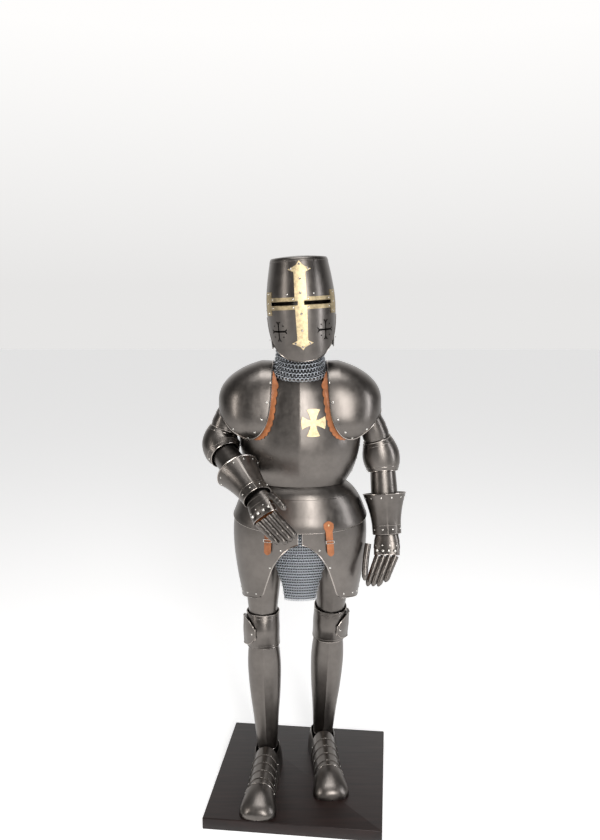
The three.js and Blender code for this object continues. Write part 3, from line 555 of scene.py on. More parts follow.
class ARMOUR_OT_helm(bpy.types.Operator):
    """Great helm: skull, face plate with breaths, back plate, brass band, cross and rivets"""
    bl_idname = "armour.helm"
    bl_label = "Helm"

    def execute(self, context):
        bar, rivet = sizes().rolled_edge / MM, sizes().rivet / MM

        def skull(angle, t):
            z = np.where(t <= 1, mix(EYES["high"], HELM_TOP, np.minimum(t, 1)), HELM_TOP)
            shrink = np.where(t > 1, 2 - t, 1.0)
            corner = np.clip((z - HELM_TOP + 9) / 9, 0, 1)
            rim = upright(HELM_RINGS, angle, z, -3.2 * corner ** 3)
            rise = np.where(t > 1, HELM["dome"] * (1 - shrink ** 2), 0)
            return rim * stack(shrink, shrink, 1) + stack(0, 0, rise)

        def face(angle, z):
            high = np.where(np.abs(angle) < EYES["outer"], EYES["low"], EYES["high"] - GAP)
            return upright(HELM_RINGS, angle, np.clip(z, face_lower(angle), high))

        def wall(out):
            return lambda angle, z: upright(HELM_RINGS, angle, z, out)

        around = np.concatenate([steps(-180, -72, 30), steps(-70, 70, 72), steps(72, 180, 30)])
        rise = np.concatenate([steps(0, 0.92, 30), steps(0.935, 1, 6), steps(1.04, 1.99, 22)])
        skull_plate = plate(skull, around, rise, closed=True, cap=True)
        top_rim = edge(wall(1.2), steps(-180, 177, 119), 138.0, bar * 0.5, closed=True)
        piece("helm_skull", [("dark steel", moved(skull_plate, helm_tilt)),
                             ("dark steel", moved(top_rim, helm_tilt))], ["helm_skull"])

        near = steps(22, 60, 64)
        angles = np.concatenate([steps(-84, -61, 12), -near[::-1], steps(-20, 20, 16), near,
                                 steps(61, 84, 12)])
        angles = np.unique(np.round(np.concatenate([angles, [-54.3, -53.7, 53.7, 54.3]]), 2))
        levels = np.concatenate([steps(-192, -124, 24), steps(-122.8, -52, 60), steps(-50, -4, 14),
                                 [2.0, 8.6]])

        def face_there(angle, z):
            outer = np.abs(angle) > EYES["outer"]
            return (z > face_lower(angle) - 1.4) & ((z < EYES["low"]) | outer) & ~breath_open(angle, z)

        face_plate = plate(face, angles, levels, keep=face_there)
        rim = steps(-84, 84, 110)
        lower = edge(wall(0), rim, face_lower(rim) + 1.5, bar, out=0.5)
        steel("helm_face", moved(face_plate, helm_tilt), moved(lower, helm_tilt))

        back = plate(wall(-4), steps(74, 286, 90), steps(-150, 30, 30))
        low = edge(wall(-4), steps(74, 286, 90), -149.0, bar * 0.8)
        side_spots = [(s * a, z) for s in (-1, 1) for a, z in ((79, -120), (79, -70), (79, -20))]
        steel("helm_back", moved(back, helm_tilt), moved(low, helm_tilt))

        def band_there(angle, z):
            temple = np.abs(angle) > EYES["outer"]
            slit = (z > EYES["low"]) & (z < EYES["high"]) & (np.abs(angle) > EYES["inner"])
            strip = (z > BAND["strip_low"]) & (z < BAND["strip_high"])
            return temple | (strip & ~slit)

        columns = np.concatenate([steps(-70, -54, 12), steps(-52, -5, 26), steps(-4, 4, 6),
                                  steps(5, 52, 26), steps(54, 70, 12)])
        heights = np.array([-36, -35, -24, -18, -17, -11, -5, -4, 2.5, 9, 10, 16, 21, 22, 31, 40, 41.0])
        band = plate(wall(BRASS + GAP), columns, heights, BRASS, keep=band_there)
        slit_edges = []
        for s in (-1, 1):
            for z in (EYES["low"] - 0.8, EYES["high"] + 0.8):
                slit_edges.append(edge(wall(BRASS + GAP + 0.9), s * steps(6, 53, 40), z, 1.0))
        # The brow band takes the darker brass: painted shade, where the cross keeps the plain brass.
        piece("helm_brow_band", [("brass in painted shade", moved(join(band, *slit_edges), helm_tilt))],
              ["helm_brow_band"])

        def cross(u, z):
            half = np.interp(z, *np.array(CROSS_WIDTHS, float).T)
            angle = np.degrees(np.arcsin(u * half / HELM_RINGS.read("side", z)))
            return upright(HELM_RINGS, angle, z, 2 * BRASS + 4 * GAP - 0.5 * u * u)

        tall = np.unique(np.concatenate([steps(-150, 138, 96), [row[0] for row in CROSS_WIDTHS]]))
        piece("helm_cross", [("brass", moved(plate(cross, steps(-1, 1, 8), tall, BRASS), helm_tilt))],
              ["helm_cross"])

        def on_helm(x, z, out, size=0.8):
            angle = np.degrees(np.arcsin(np.array(x) / HELM_RINGS.read("side", np.array(z, float))))
            return rivets(wall(0), np.stack([angle, z], -1), rivet * size, out=out)

        cross_spots = [(0, 127), (-27, 111), (27, 111), (0, 80), (0, 34), (0, -32), (0, -86),
                       (-23, -128), (23, -128), (0, -140)]
        band_spots = [(s * x, z) for s in (-1, 1) for x, z in ((24, 16), (24, -11), (88, 16), (88, -11),
                                                              (102, 34), (102, -28), (104, 3))]
        steel_spots = [(-43, 32), (43, 32)]
        heads = join(on_helm(*zip(*band_spots), 1.8), on_helm(*zip(*steel_spots), 0),
                     rivets(wall(0), side_spots, rivet * 0.8))
        dark = on_helm(*zip(*cross_spots), 4.2, 1.15)
        piece("helm_rivets", [("bright steel", moved(heads, helm_tilt)),
                              ("edge steel", moved(dark, helm_tilt))])
        return {"FINISHED"}


# ---------------------------------------------------------------- cuirass and mail
TORSO_RINGS = Rings("z side front back", [
    (1086, 162, 125, 98), (1130, 187, 141, 108), (1200, 206, 154, 116), (1260, 209, 152, 119),
    (1340, 192, 143, 116), (1410, 152, 125, 104), (1450, 112, 108, 88), (1480, 88, 94, 76)])
CUIRASS = {"low": 1086, "ridge": 3, "breast_top": 1448, "back_top": 1452, "dip": 22}
ARMHOLES = Rings("z angle", [(1086, 87), (1210, 87), (1260, 78), (1340, 58), (1410, 52), (1480, 56)])
COLLAR_RINGS = Rings("z side front back", [
    (1440, 128, 126, 105), (1465, 108, 117, 97), (1485, 94, 107, 90), (1510, 84, 98, 84),
    (1545, 80, 90, 80), (1600, 78, 88, 80)])
COLLAR = {"low": 1447, "high": 1595, "top": 1562, "rise": 20}
BREAST_CROSS = {"x": 43, "z": 1311, "tall": 46, "wide": 39, "waist": 9, "flare": 21}


def breast_depth(x, z):
    """How far the breastplate stands ahead of the body's middle at a place on it."""
    wide = np.minimum(np.abs(x) / TORSO_RINGS.read("side", z), 1)
    return TORSO_RINGS.read("front", z) * (1 - wide ** 2.2) ** (1 / 2.2)


def breast(u, z, out=0.0):
    height = mix(z, z + u * u * CUIRASS["dip"], np.clip((z - 1340) / 100, 0, 1))
    return upright(TORSO_RINGS, u * ARMHOLES.read("angle", z), height, out, CUIRASS["ridge"])


def back(u, z):
    return upright(TORSO_RINGS, 180 + u * ARMHOLES.read("angle", z), z)


class ARMOUR_OT_cuirass(bpy.types.Operator):
    """Breastplate and backplate with rolled edges, and the brass cross on the breast"""
    bl_idname = "armour.cuirass"
    bl_label = "Cuirass"

    def execute(self, context):
        bar, rivet = sizes().rolled_edge / MM, sizes().rivet / MM
        tall = steps(CUIRASS["low"], CUIRASS["breast_top"], 72)
        shell = plate(breast, steps(-1, 1, 96), tall)
        edges = [edge(breast, steps(-1, 1, 80), CUIRASS["breast_top"] - 1.0, bar, 0.4)]
        edges += [edge(breast, side * 0.995, tall, bar * 0.8, 0.3) for side in (-1, 1)]
        steel("breastplate", shell, join(*edges))
        tall = steps(CUIRASS["low"], CUIRASS["back_top"], 70)
        edges = [edge(back, steps(-1, 1, 80), CUIRASS["back_top"] - 1.0, bar, 0.4)]
        edges += [edge(back, side * 0.99, tall, bar * 0.8) for side in (-1, 1)]
        steel("backplate", plate(back, steps(-1, 1, 80), tall), join(*edges))
        spots = [(side * 0.94, z) for side in (-1, 1) for z in (1120, 1165, 1210)]
        heads = join(rivets(breast, spots, rivet), rivets(back, spots, rivet))
        piece("cuirass_rivets", [("bright steel", heads)])

        def arm(turn):
            c, s = round(math.cos(turn)), round(math.sin(turn))
            reach = BREAST_CROSS["wide"] if s else BREAST_CROSS["tall"]

            def at(u, d):
                flare = np.clip((d - BREAST_CROSS["waist"]) / (reach - BREAST_CROSS["waist"]), 0, 1)
                half = np.where(d < BREAST_CROSS["waist"], d,
                                mix(BREAST_CROSS["waist"], BREAST_CROSS["flare"], flare ** 1.5))
                bow = 3.0 * u * u * flare
                across, up = u * half, d - bow
                x = BREAST_CROSS["x"] + across * c - up * s
                z = BREAST_CROSS["z"] + across * s + up * c
                angle = np.degrees(np.arcsin(x / TORSO_RINGS.read("side", z)))
                return upright(TORSO_RINGS, angle, z, 2.8 + BRASS, CUIRASS["ridge"])

            return plate(at, steps(-1, 1, 14), steps(0.3, reach, 24), BRASS)

        arms = join(*(arm(turn * math.tau / 4) for turn in range(4)))
        piece("breast_cross", [("brass", arms)], ["breast_cross"])
        return {"FINISHED"}


class ARMOUR_OT_mail(bpy.types.Operator):
    """Mail: the collar round the neck and the flap below the skirt of plates, each with its rings over a dark
    sheet of painted shadow
    """
    bl_idname = "armour.mail"
    bl_label = "Mail"

    def execute(self, context):
        pitch, wire = sizes().mail_pitch / MM, sizes().mail_wire / MM

        def collar(angle, z, out=-1.2):
            """Mail hangs lowest ahead and behind, and rises over the shoulders."""
            aside = np.minimum(np.abs((angle + 180) % 360 - 180) / 60, 1) ** 2
            left = (COLLAR["high"] - z) / (COLLAR["high"] - COLLAR["low"])
            return upright(COLLAR_RINGS, angle, z + COLLAR["rise"] * aside * left, out)

        # A near-black sheet just under the rings: painted shadow for the shade in the gaps between the rings.
        def shadow(at, across, along):
            u, v = np.meshgrid(across, along)
            index = np.arange(u.size).reshape(u.shape)
            faces = stack(index[:-1, :-1], index[:-1, 1:], index[1:, 1:], index[1:, :-1])
            return at(u, v).reshape(-1, 3), [faces.reshape(-1, 4).astype(int)]

        rows = []
        for row, z in enumerate(np.arange(COLLAR["low"] + 3, COLLAR["top"], pitch * 0.62)):
            count = int(math.tau * 104 / pitch) if z < 1490 else int(math.tau * 88 / pitch)
            rows.append((np.arange(count) * 360 / count - 180 + (row % 2) * 180 / count, z))
        rings = piece("mail_collar_rings", [("mail rings", links(collar, rows, pitch * 0.56, wire))],
                      crease=180)
        # The mail_collar object is the sheet of painted shadow behind the collar's rings.
        painted_shadow_sheet = piece("mail_collar", [("mail shadow", shadow(
            lambda a, z: collar(a, z, -2.9), steps(-180, 180, 90), steps(1450, 1580, 24)))],
            ["mail_collar"])

        def flap(u, z):
            half = SKIRT_FLAP.read("half", z)
            return stack(u * half, -SKIRT_FLAP.read("ahead", z) + 14 * u * u, z)

        rows, pitch, wire = [], pitch * 0.72, wire * 0.78
        for row, z in enumerate(np.arange(674, 952, pitch * 0.62)):
            half = float(SKIRT_FLAP.read("half", z)) - 3
            count = int(2 * half / pitch)
            rows.append(((np.arange(count + 1) - count / 2 + (row % 2) / 2) * pitch / (half + 3), z))
        rows = [(u[np.abs(u) < 0.99], z) for u, z in rows]
        rings = piece("mail_skirt_rings", [("mail rings", links(flap, rows, pitch * 0.56, wire))],
                      crease=180)
        # The mail_skirt object is the sheet of painted shadow behind the flap's rings.
        painted_shadow_sheet = piece("mail_skirt", [("mail shadow", shadow(
            lambda u, z: flap(u * 0.97, z) + [0, 2.2, 0], steps(-1, 1, 30), steps(677, 953, 40)))],
            ["mail_skirt"])
        return {"FINISHED"}


# ---------------------------------------------------------------- skirt of plates
SKIRT_RINGS = Rings("z side front back", [
    (667, 214, 140, 128), (770, 232, 154, 140), (867, 242, 164, 148), (946, 240, 165, 146),
    (990, 226, 156, 136), (1030, 208, 146, 124), (1060, 186, 136, 110), (1086, 157, 120, 93),
    (1096, 151, 117, 90)])
FAULD = {"top": 1096, "middle": 934, "rise": 38, "culet": 905,
         "lap": 1045, "lap_rise": 14, "lift": 2.2, "waist": 1080}
TASSET = {"out": -7, "inner": 1.5, "outer": 100, "over": 16}
TASSET_EDGE = Rings("angle z", [
    (0, 896), (10, 878), (22, 820), (31, 740), (37, 694), (55, 678), (80, 668), (104, 690)])
STRAP = {"half": 11, "out": 3.5, "keeper": 52, "keeper_out": 1.6}
STRAPS = {"right": {"x": -105, "high": 972, "low": 857, "lean": -4},
          "left": {"x": 97, "high": 976, "low": 853, "lean": 10}}
SKIRT_FLAP = Rings("z half ahead", [
    (672, 56, 100), (720, 62, 106), (800, 84, 122), (880, 100, 140), (960, 104, 146)])


def fauld_edge(angle):
    return FAULD["middle"] + FAULD["rise"] * (np.minimum(np.abs(angle), 90) / 90) ** 2


def fauld(angle, t):
    """The upper lame of the fauld laps over the lower one."""
    z = mix(fauld_edge(angle), FAULD["top"], t)
    line = FAULD["lap"] + FAULD["lap_rise"] * (angle / 90) ** 2
    lap = np.where(z > line, FAULD["lift"] * np.clip((FAULD["waist"] - z) / 30, 0, 1), 0)
    return upright(SKIRT_RINGS, angle, z, lap)


def culet(angle, t):
    low = mix(fauld_edge(90.0), FAULD["culet"], np.sin(np.radians(angle - 90)))
    return upright(SKIRT_RINGS, angle, mix(low, FAULD["top"], t))


def tasset(angle, t):
    z = mix(TASSET_EDGE.read("z", angle), fauld_edge(angle) + TASSET["over"], t)
    return upright(SKIRT_RINGS, angle, z, TASSET["out"])


class ARMOUR_OT_skirt(bpy.types.Operator):
    """Skirt of plates: fauld, culet, two tassets and their leather straps"""
    bl_idname = "armour.skirt"
    bl_label = "Skirt of plates"

    def execute(self, context):
        bar, rivet = sizes().rolled_edge / MM, sizes().rivet / MM
        for name, at, low, high in (("fauld", fauld, -88, 88), ("culet", culet, 92, 268)):
            across = steps(low, high, 76)
            lower = edge(at, across, 0.006, bar * 0.8, 0.3)
            waist = edge(at, across, 0.985, bar * 0.7)
            steel(name, plate(at, across, steps(0, 1, 116)), join(lower, waist))
        across, along = np.concatenate([[TASSET["inner"]], steps(2, TASSET["outer"], 60)]), steps(0, 1, 60)
        shell = plate(tasset, across, along)
        edges = join(edge(tasset, across, 0.004, bar, 0.4),
                     edge(tasset, TASSET["inner"] + 0.4, along, bar * 0.7),
                     edge(tasset, TASSET["outer"] - 0.4, along, bar * 0.7))
        spots = [(angle, 0.06) for angle in (44, 58, 72, 86, 96)] + [(26, 0.12), (16, 0.2)]
        heads = rivets(tasset, spots, rivet)
        for side, way in (("left", lambda shape: shape), ("right", mirror)):
            steel(f"tasset_{side}", way(shell), way(edges))
        piece("tasset_rivets", [("bright steel", join(heads, mirror(heads)))])
        studs = []
        for side, strap in STRAPS.items():
            def at(u, t, out=STRAP["out"], strap=strap):
                rounding = np.minimum(1, np.sqrt(np.clip(np.minimum(12 * t, 12 * (1 - t)), 0.02, 1)))
                head = 1 + 0.45 * np.clip((t - 0.72) / 0.1, 0, 1)
                z = mix(strap["low"], strap["high"], t)
                x = strap["x"] + strap["lean"] * (0.5 - t) + u * STRAP["half"] * rounding * head
                angle = np.degrees(np.arcsin(x / SKIRT_RINGS.read("side", z)))
                return upright(SKIRT_RINGS, angle, z, out)

            band = plate(at, steps(-1, 1, 8), np.concatenate([steps(0, 0.1, 12), steps(0.12, 0.9, 24),
                                                              steps(0.91, 1, 12)]), LEATHER)
            piece(f"strap_{side}", [("leather", band)], [f"strap_{side}"])
            level = STRAP["keeper"] / (strap["high"] - strap["low"])

            def lift(u, t, at=at):
                return at(u, t, STRAP["out"] + STRAP["keeper_out"])

            loop = np.array([(-1.15, -0.04), (1.15, -0.04), (1.15, 0.04), (-1.15, 0.04)])
            corner = np.concatenate([np.linspace(loop[i], loop[(i + 1) % 4], 8, endpoint=False)
                                     for i in range(4)])
            u, t = corner.T
            wire = bead(lift(u, level + t), facing(lift, u, level + t, 0.05, 0.01), 1.1, closed=True)
            piece(f"strap_keeper_{side}", [("bright steel", wire)], [f"strap_keeper_{side}"])
            studs.append(rivets(at, [(0, 0.89)], rivet * 0.9))
        piece("strap_rivets", [("brass", join(*studs))])
        return {"FINISHED"}


# ---------------------------------------------------------------- shoulders
SHOULDER = {"x": 132, "z": 1362, "side": 148, "front": 136, "high": 142,
            "square": 2.6, "crown": 38, "taper": 0.0015, "droop": 0.3}
CORNER = {"neck": 26, "arm": 112}
PAULDRON_EDGE = Rings("turn x ahead z", [
    (0, 92, 0, 1504), (8, 92, 48, 1500), (18, 93, 92, 1480), (32, 96, 118, 1440),
    (48, 99, 130, 1390), (66, 105, 135, 1335), (84, 121, 127, 1287), (102, 147, 109, 1256),
    (120, 178, 99, 1247), (142, 222, 103, 1270), (164, 262, 83, 1312), (172, 275, 50, 1330),
    (180, 280, 0, 1342)])


def toward(turn):
    """The direction from the block's middle to the pauldron's edge."""
    half = (turn + 540) % 360 - 180
    bare = np.abs(half)
    return unit(stack(PAULDRON_EDGE.read("x", bare) - SHOULDER["x"],
                      -PAULDRON_EDGE.read("ahead", bare) * np.sign(half),
                      PAULDRON_EDGE.read("z", bare) - SHOULDER["z"]))


def on_shoulder(direction, out):
    x, y, z = np.moveaxis(unit(direction), -1, 0)
    size = (np.abs(x / (SHOULDER["side"] + out)) ** SHOULDER["square"]
            + np.abs(y / (SHOULDER["front"] + out)) ** SHOULDER["square"]
            + np.abs(z / (SHOULDER["high"] + out)) ** SHOULDER["square"]) ** (-1 / SHOULDER["square"])
    x, y, z = x * size, y * size, z * size
    y = y * (1 - SHOULDER["taper"] * z)
    droop = SHOULDER["droop"] * np.clip(x / SHOULDER["side"], 0, 1) * (z > 0)
    return stack(x + SHOULDER["x"], y, z * (1 - droop) + SHOULDER["z"])


def pauldron(along, ahead, out=0.0):
    """`along` runs from 0 at the neck to 1 at the arm, `ahead` from -1 behind to 1 in front."""
    neck, arm = CORNER["neck"], CORNER["arm"]
    side, part = np.sign(ahead), np.asarray(along, float)[..., None]
    straight = mix(toward(side * neck), toward(side * arm), part)
    bulge = (toward(side * mix(neck, arm, along)) - straight) * (ahead * ahead)[..., None]
    ends = mix(toward(ahead * neck), toward(180 + ahead * (arm - 180)), part)
    return on_shoulder(ends + bulge, out)


def beside_pauldron(turn, past, out):
    angle = math.radians(SHOULDER["crown"])
    crown = np.array([math.cos(angle), 0, math.sin(angle)])
    return on_shoulder(mix(toward(turn), crown, -past[..., None]), out)


def trim(turn, t):
    start, end = SCALLOP["start"], SCALLOP["end"]
    wave = np.abs(np.sin((turn - start) / (end - start) * SCALLOP["count"] * math.pi)) ** 0.7
    ends = np.minimum(1, np.minimum((turn - start + 2) / 14, (end + 2 - turn) / 12))
    reach = (SCALLOP["reach"] - SCALLOP["depth"] * (1 - wave)) * ends
    past = mix(reach, -SCALLOP["under"], t) / SHOULDER["side"]
    point = beside_pauldron(turn, past, -STEEL - 6)
    point[..., 1] = np.minimum(point[..., 1], -breast_depth(point[..., 0], point[..., 2]) - LEATHER - 2)
    return point


class ARMOUR_OT_shoulders(bpy.types.Operator):
    """Pauldrons with rolled edges and rivets, over scalloped leather trims"""
    bl_idname = "armour.shoulders"
    bl_label = "Shoulders"

    def execute(self, context):
        bar, rivet = sizes().rolled_edge / MM, sizes().rivet / MM
        across, along = steps(0, 1, 64), steps(1, -1, 80)
        shell = plate(pauldron, across, along, inside=lambda u, v: pauldron(u, v, -STEEL))
        ends = (steps(1, -1, 80), steps(0, 1, 70))
        rim = np.concatenate([pauldron(0 * ends[0], ends[0]), pauldron(ends[1], 0 * ends[1] - 1)[1:],
                              pauldron(0 * ends[0] + 1, -ends[0])[1:],
                              pauldron(ends[1][::-1], 0 * ends[1] + 1)[1:-1]])
        middle = np.array([SHOULDER["x"], 0, SHOULDER["z"]])
        rolled = bead(rim, unit(rim - middle), bar * 1.15, closed=True)
        spots = [(u, 0.84) for u in (0.14, 0.36, 0.56, 0.76, 0.94)]
        spots += [(0.94, v) for v in (0.5, 0.0, -0.5)] + [(u, -0.84) for u in (0.14, 0.36, 0.56, 0.76, 0.94)]
        heads = rivets(lambda u, v: pauldron(u, -v), [(u, -v) for u, v in spots], rivet * 1.1)
        round_edge = steps(SCALLOP["start"], SCALLOP["end"], SCALLOP["count"] * 12)
        leather = plate(trim, round_edge, steps(0, 1, 6), LEATHER)
        for side, way in (("left", lambda shape: shape), ("right", mirror)):
            steel(f"pauldron_{side}", way(shell), way(rolled))
            piece(f"pauldron_trim_{side}", [("leather", way(leather))], [f"pauldron_trim_{side}"])
        piece("pauldron_rivets", [("bright steel", join(heads, mirror(heads)))])
        return {"FINISHED"}


# ---------------------------------------------------------------- arms
ARMS = {"left": Limb((305, -45, 905), (288, 12, 1172), (208, 0, 1420), 60),
        "right": Limb((-139, -246, 1087), (-285, -33, 1214), (-208, 0, 1420), 60)}
CUFF_RINGS = Rings("s side front back", [
    (-6, 50, 40, 38), (40, 52, 43, 40), (90, 61, 52, 48), (136, 75, 64, 58)])
FOREARM_RINGS = Rings("s side front back", [(100, 46, 42, 40), (160, 46, 43, 42), (250, 43, 42, 42)])
COUTER_RINGS = Rings("s side front back", [
    (-60, 52, 50, 50), (-34, 62, 57, 62), (0, 65, 59, 69), (34, 58, 56, 61), (60, 48, 49, 49)])
UPPER_ARM_RINGS = Rings("s side front back", [
    (38, 43, 42, 42), (90, 45, 45, 45), (150, 36, 42, 42), (190, 28, 36, 36)])


def tube(limb, rings, start, end, rows, ridge=0.0, laps=0, lift=1.6, sides=68):
    """A closed tube of plate along a limb, with `laps` overlapping lames if it has any."""
    def at(angle, s):
        out = 0.0
        if laps:
            place = np.clip((s - start) / (end - start), 0, 0.9999) * laps
            out = lift * (1 - (place - np.floor(place)))
        return limb.at(rings, angle, s, out, ridge)

    along = steps(start, end, rows)
    if laps:
        joints = start + (end - start) * np.arange(1, laps) / laps
        along = np.unique(np.concatenate([along, joints - 0.6, joints]))
    return at, plate(at, steps(-180, 180, sides), along, closed=True)


def collar_bead(at, s, radius, out=0.4):
    return edge(at, steps(-180, 176, 89), s, radius, out, closed=True)


class ARMOUR_OT_arms(bpy.types.Operator):
    """Arms: rerebrace, couter, vambrace and gauntlet cuff of each arm"""
    bl_idname = "armour.arms"
    bl_label = "Arms"

    def execute(self, context):
        bar, rivet = sizes().rolled_edge / MM, sizes().rivet / MM
        heads = []
        for side, limb in ARMS.items():
            elbow = limb.lower
            cuff, shell = tube(limb, CUFF_RINGS, -6, 136, 60, 4.0)
            rims = join(collar_bead(cuff, 135, bar), collar_bead(cuff, 26, bar * 0.6, 0.2),
                        collar_bead(cuff, -4, bar * 0.6))
            steel(f"gauntlet_cuff_{side}", shell, rims)
            spots = [(a, 122) for a in range(-165, 180, 30)] + [(a, 12) for a in (-60, -20, 20, 60)]
            heads.append(rivets(cuff, spots, rivet * 0.85))
            at, shell = tube(limb, FOREARM_RINGS, 108, elbow - 38, 40)
            steel(f"vambrace_{side}", shell, collar_bead(at, elbow - 39, bar * 0.6))
            at, shell = tube(limb, COUTER_RINGS.moved(elbow), elbow - 60, elbow + 60, 60)
            rims = join(collar_bead(at, elbow - 59, bar * 0.9), collar_bead(at, elbow + 59, bar * 0.9),
                        collar_bead(at, elbow - 44, bar * 0.5, 0.2),
                        collar_bead(at, elbow + 44, bar * 0.5, 0.2))
            steel(f"couter_{side}", shell, rims)
            heads.append(rivets(at, [(a, elbow + b) for a in (-90, 90) for b in (-51, 51)], rivet * 0.85))
            at, shell = tube(limb, UPPER_ARM_RINGS.moved(elbow), elbow + 38, elbow + 170, 60, laps=4)
            piece(f"rerebrace_{side}", [("dark steel", shell)], [f"rerebrace_{side}"])
        piece("arm_rivets", [("bright steel", join(*heads))])
        return {"FINISHED"}


# ---------------------------------------------------------------- gauntlets
HAND_RINGS = Rings("s side front back", [(-8, 44, 17, 16), (30, 45, 22, 19), (85, 36, 25, 24)])
FINGER = {"pitch": 20.6, "narrower": 2, "root": 10.0, "tip": 9.1, "inside": -10.8, "short": 0.15, "wall": 1.5}
HANDS = {
    "left": {"wrist": (305, -45, 905), "knuckles": (303, -72, 838), "tips": (262, -104, 728),
             "sideways": (1, -0.25, 0), "thumb": ((238, -64, 868), (226, -86, 815), (224, -112, 752))},
    "right": {"wrist": (-139, -246, 1087), "knuckles": (-111, -302, 1040), "tips": (-33, -354, 968),
              "sideways": (0.77, 0, 0.63),
              "thumb": ((-92, -290, 1104), (-68, -318, 1096), (-46, -348, 1072))},
}


def finger(root, bend, tip, sideways):
    """A tapering tube of overlapping plates, bent once on its way to the tip."""
    root, bend, tip = (np.array(p, float) for p in (root, bend, tip))

    def at(angle, t, out=0.0):
        place = np.clip(t, 0, 1)[..., None]
        middle = tip * (1 - place) ** 2 + bend * 2 * place * (1 - place) + root * place ** 2
        along = unit((bend - tip) * (1 - place) + (root - bend) * place)
        side = unit(sideways - along * (along * sideways).sum(-1, keepdims=True))
        front = np.cross(side, along)
        round_off = np.sqrt(np.clip(t * 9, 0.01, 1))
        laps = np.clip(t - 0.12, 0, 0.8799) / 0.22
        lift = np.where(t > 0.12, 0.4 * (1 - (laps - np.floor(laps))), 0)
        radius = (mix(FINGER["tip"], FINGER["root"], np.clip(t, 0, 1)) + lift) * round_off + out
        turn = np.radians(angle)
        return middle + side * (radius * np.sin(turn))[..., None] + front * (radius * np.cos(turn))[..., None]

    joints = 0.12 + 0.22 * np.arange(1, 4)
    round_tip = [0.001, 0.006, 0.02, 0.045, 0.08]
    along = np.unique(np.concatenate([round_tip, steps(0.11, 1, 24), joints, joints - 0.008]))
    shell = plate(lambda a, t: at(a, -t), steps(180, -180, 26)[::-1], -along[::-1], FINGER["wall"],
                  closed=True, cap=True)
    return at, (shell[0], [face[:, ::-1] for face in shell[1]])


def parted(shape, at_palm):
    """The faces of a shape in two parts: outside the palm, and on it."""
    points, faces = shape
    out, palm = [], []
    for face in faces:
        mask = at_palm(points[face].mean(1))
        out.append(face[~mask])
        palm.append(face[mask])
    return [(points, [f for f in part if len(f)]) for part in (out, palm)]


class ARMOUR_OT_gauntlets(bpy.types.Operator):
    """Gauntlet hands: the plate over each hand, four fingers and a thumb, leather on the palm side"""
    bl_idname = "armour.gauntlets"
    bl_label = "Gauntlets"

    def execute(self, context):
        bar, rivet = sizes().rolled_edge / MM, sizes().rivet / MM
        heads = []
        for side, hand in HANDS.items():
            wrist, knuckles, tips = (np.array(hand[name], float) for name in ("wrist", "knuckles", "tips"))
            limb = Limb(knuckles, mix(knuckles, wrist, 0.5), wrist, 5, hand["sideways"])
            back = unit(wrist - knuckles)
            sideways = np.array(hand["sideways"], float)
            sideways = unit(sideways - back * (sideways @ back))
            front = np.cross(sideways, back)
            at, shell = tube(limb, HAND_RINGS, -8, 85, 70, laps=4, lift=1.2)

            def on_palm(points, middle=knuckles, front=front):
                return (points - middle) @ front < -6

            hard, soft = parted(shell, on_palm)
            layers = [("dark steel", hard), ("leather", soft)]
            layers.append(("edge steel", edge(at, steps(-80, 80, 40), -7, bar * 0.7, 0.3)))
            piece(f"gauntlet_hand_{side}", layers, [f"gauntlet_hand_{side}"])
            for number, name in enumerate(("index", "middle", "ring", "little")):
                place = (1.5 - number) * (1 if side == "right" else -1)
                root = knuckles + sideways * place * FINGER["pitch"] + back * FINGER["inside"]
                tip = tips + sideways * place * (FINGER["pitch"] - FINGER["narrower"])
                if name == "little":
                    tip = mix(tip, root, FINGER["short"])
                bend = mix(root, tip, 0.45) + front * 6
                self.add(f"finger_{name}_{side}", root, bend, tip, sideways)
                heads.append(domes([knuckles + sideways * place * FINGER["pitch"] + back * 6 + front * 23.5],
                                   [front], rivet * 1.5, rivet * 1.5))
            self.add(f"thumb_{side}", *hand["thumb"], sideways)
            heads.append(rivets(at, [(a, 24) for a in (-50, -17, 17, 50)], rivet * 0.7, out=0.3))
        piece("gauntlet_rivets", [("bright steel", join(*heads))])
        return {"FINISHED"}

    def add(self, name, root, bend, tip, sideways):
        _, shell = finger(root, bend, tip, sideways)
        along = unit(np.array(root, float) - np.array(tip, float))
        front = unit(np.cross(sideways, along))
        line = np.array(root, float)

        def on_palm(points):
            return (points - line - ((points - line) @ along)[:, None] * along) @ front < -3.5

        hard, soft = parted(shell, on_palm)
        piece(name, [("dark steel", hard), ("leather", soft)], [name])


# ---------------------------------------------------------------- legs
LEGS = {"right": {"limb": Limb((-119, -8, 0), (-134, -14, 540), (-132, 0, 860), 60), "toe": -4.5, "out": -1},
        "left": {"limb": Limb((85, 98, 0), (108, 46, 540), (128, 0, 860), 60), "toe": 4.5, "out": 1}}
GREAVE_RINGS = Rings("s side front back", [
    (70, 36, 38, 40), (111, 40, 42, 45), (190, 46, 48, 56), (284, 55, 54, 68), (380, 60, 58, 72),
    (440, 58, 56, 66), (495, 51, 52, 56)])
POLEYN_RINGS = Rings("s side front back", [
    (-62, 59, 61, 64), (-34, 59, 70, 64), (0, 60, 76, 64), (34, 59, 70, 64), (62, 59, 61, 64)])
CUISSE_RINGS = Rings("s side front back", [
    (44, 51, 53, 56), (80, 53, 57, 62), (180, 64, 70, 72), (300, 74, 82, 82)])
WING = {"out": 7, "from": 22, "to": 128, "half": 50}


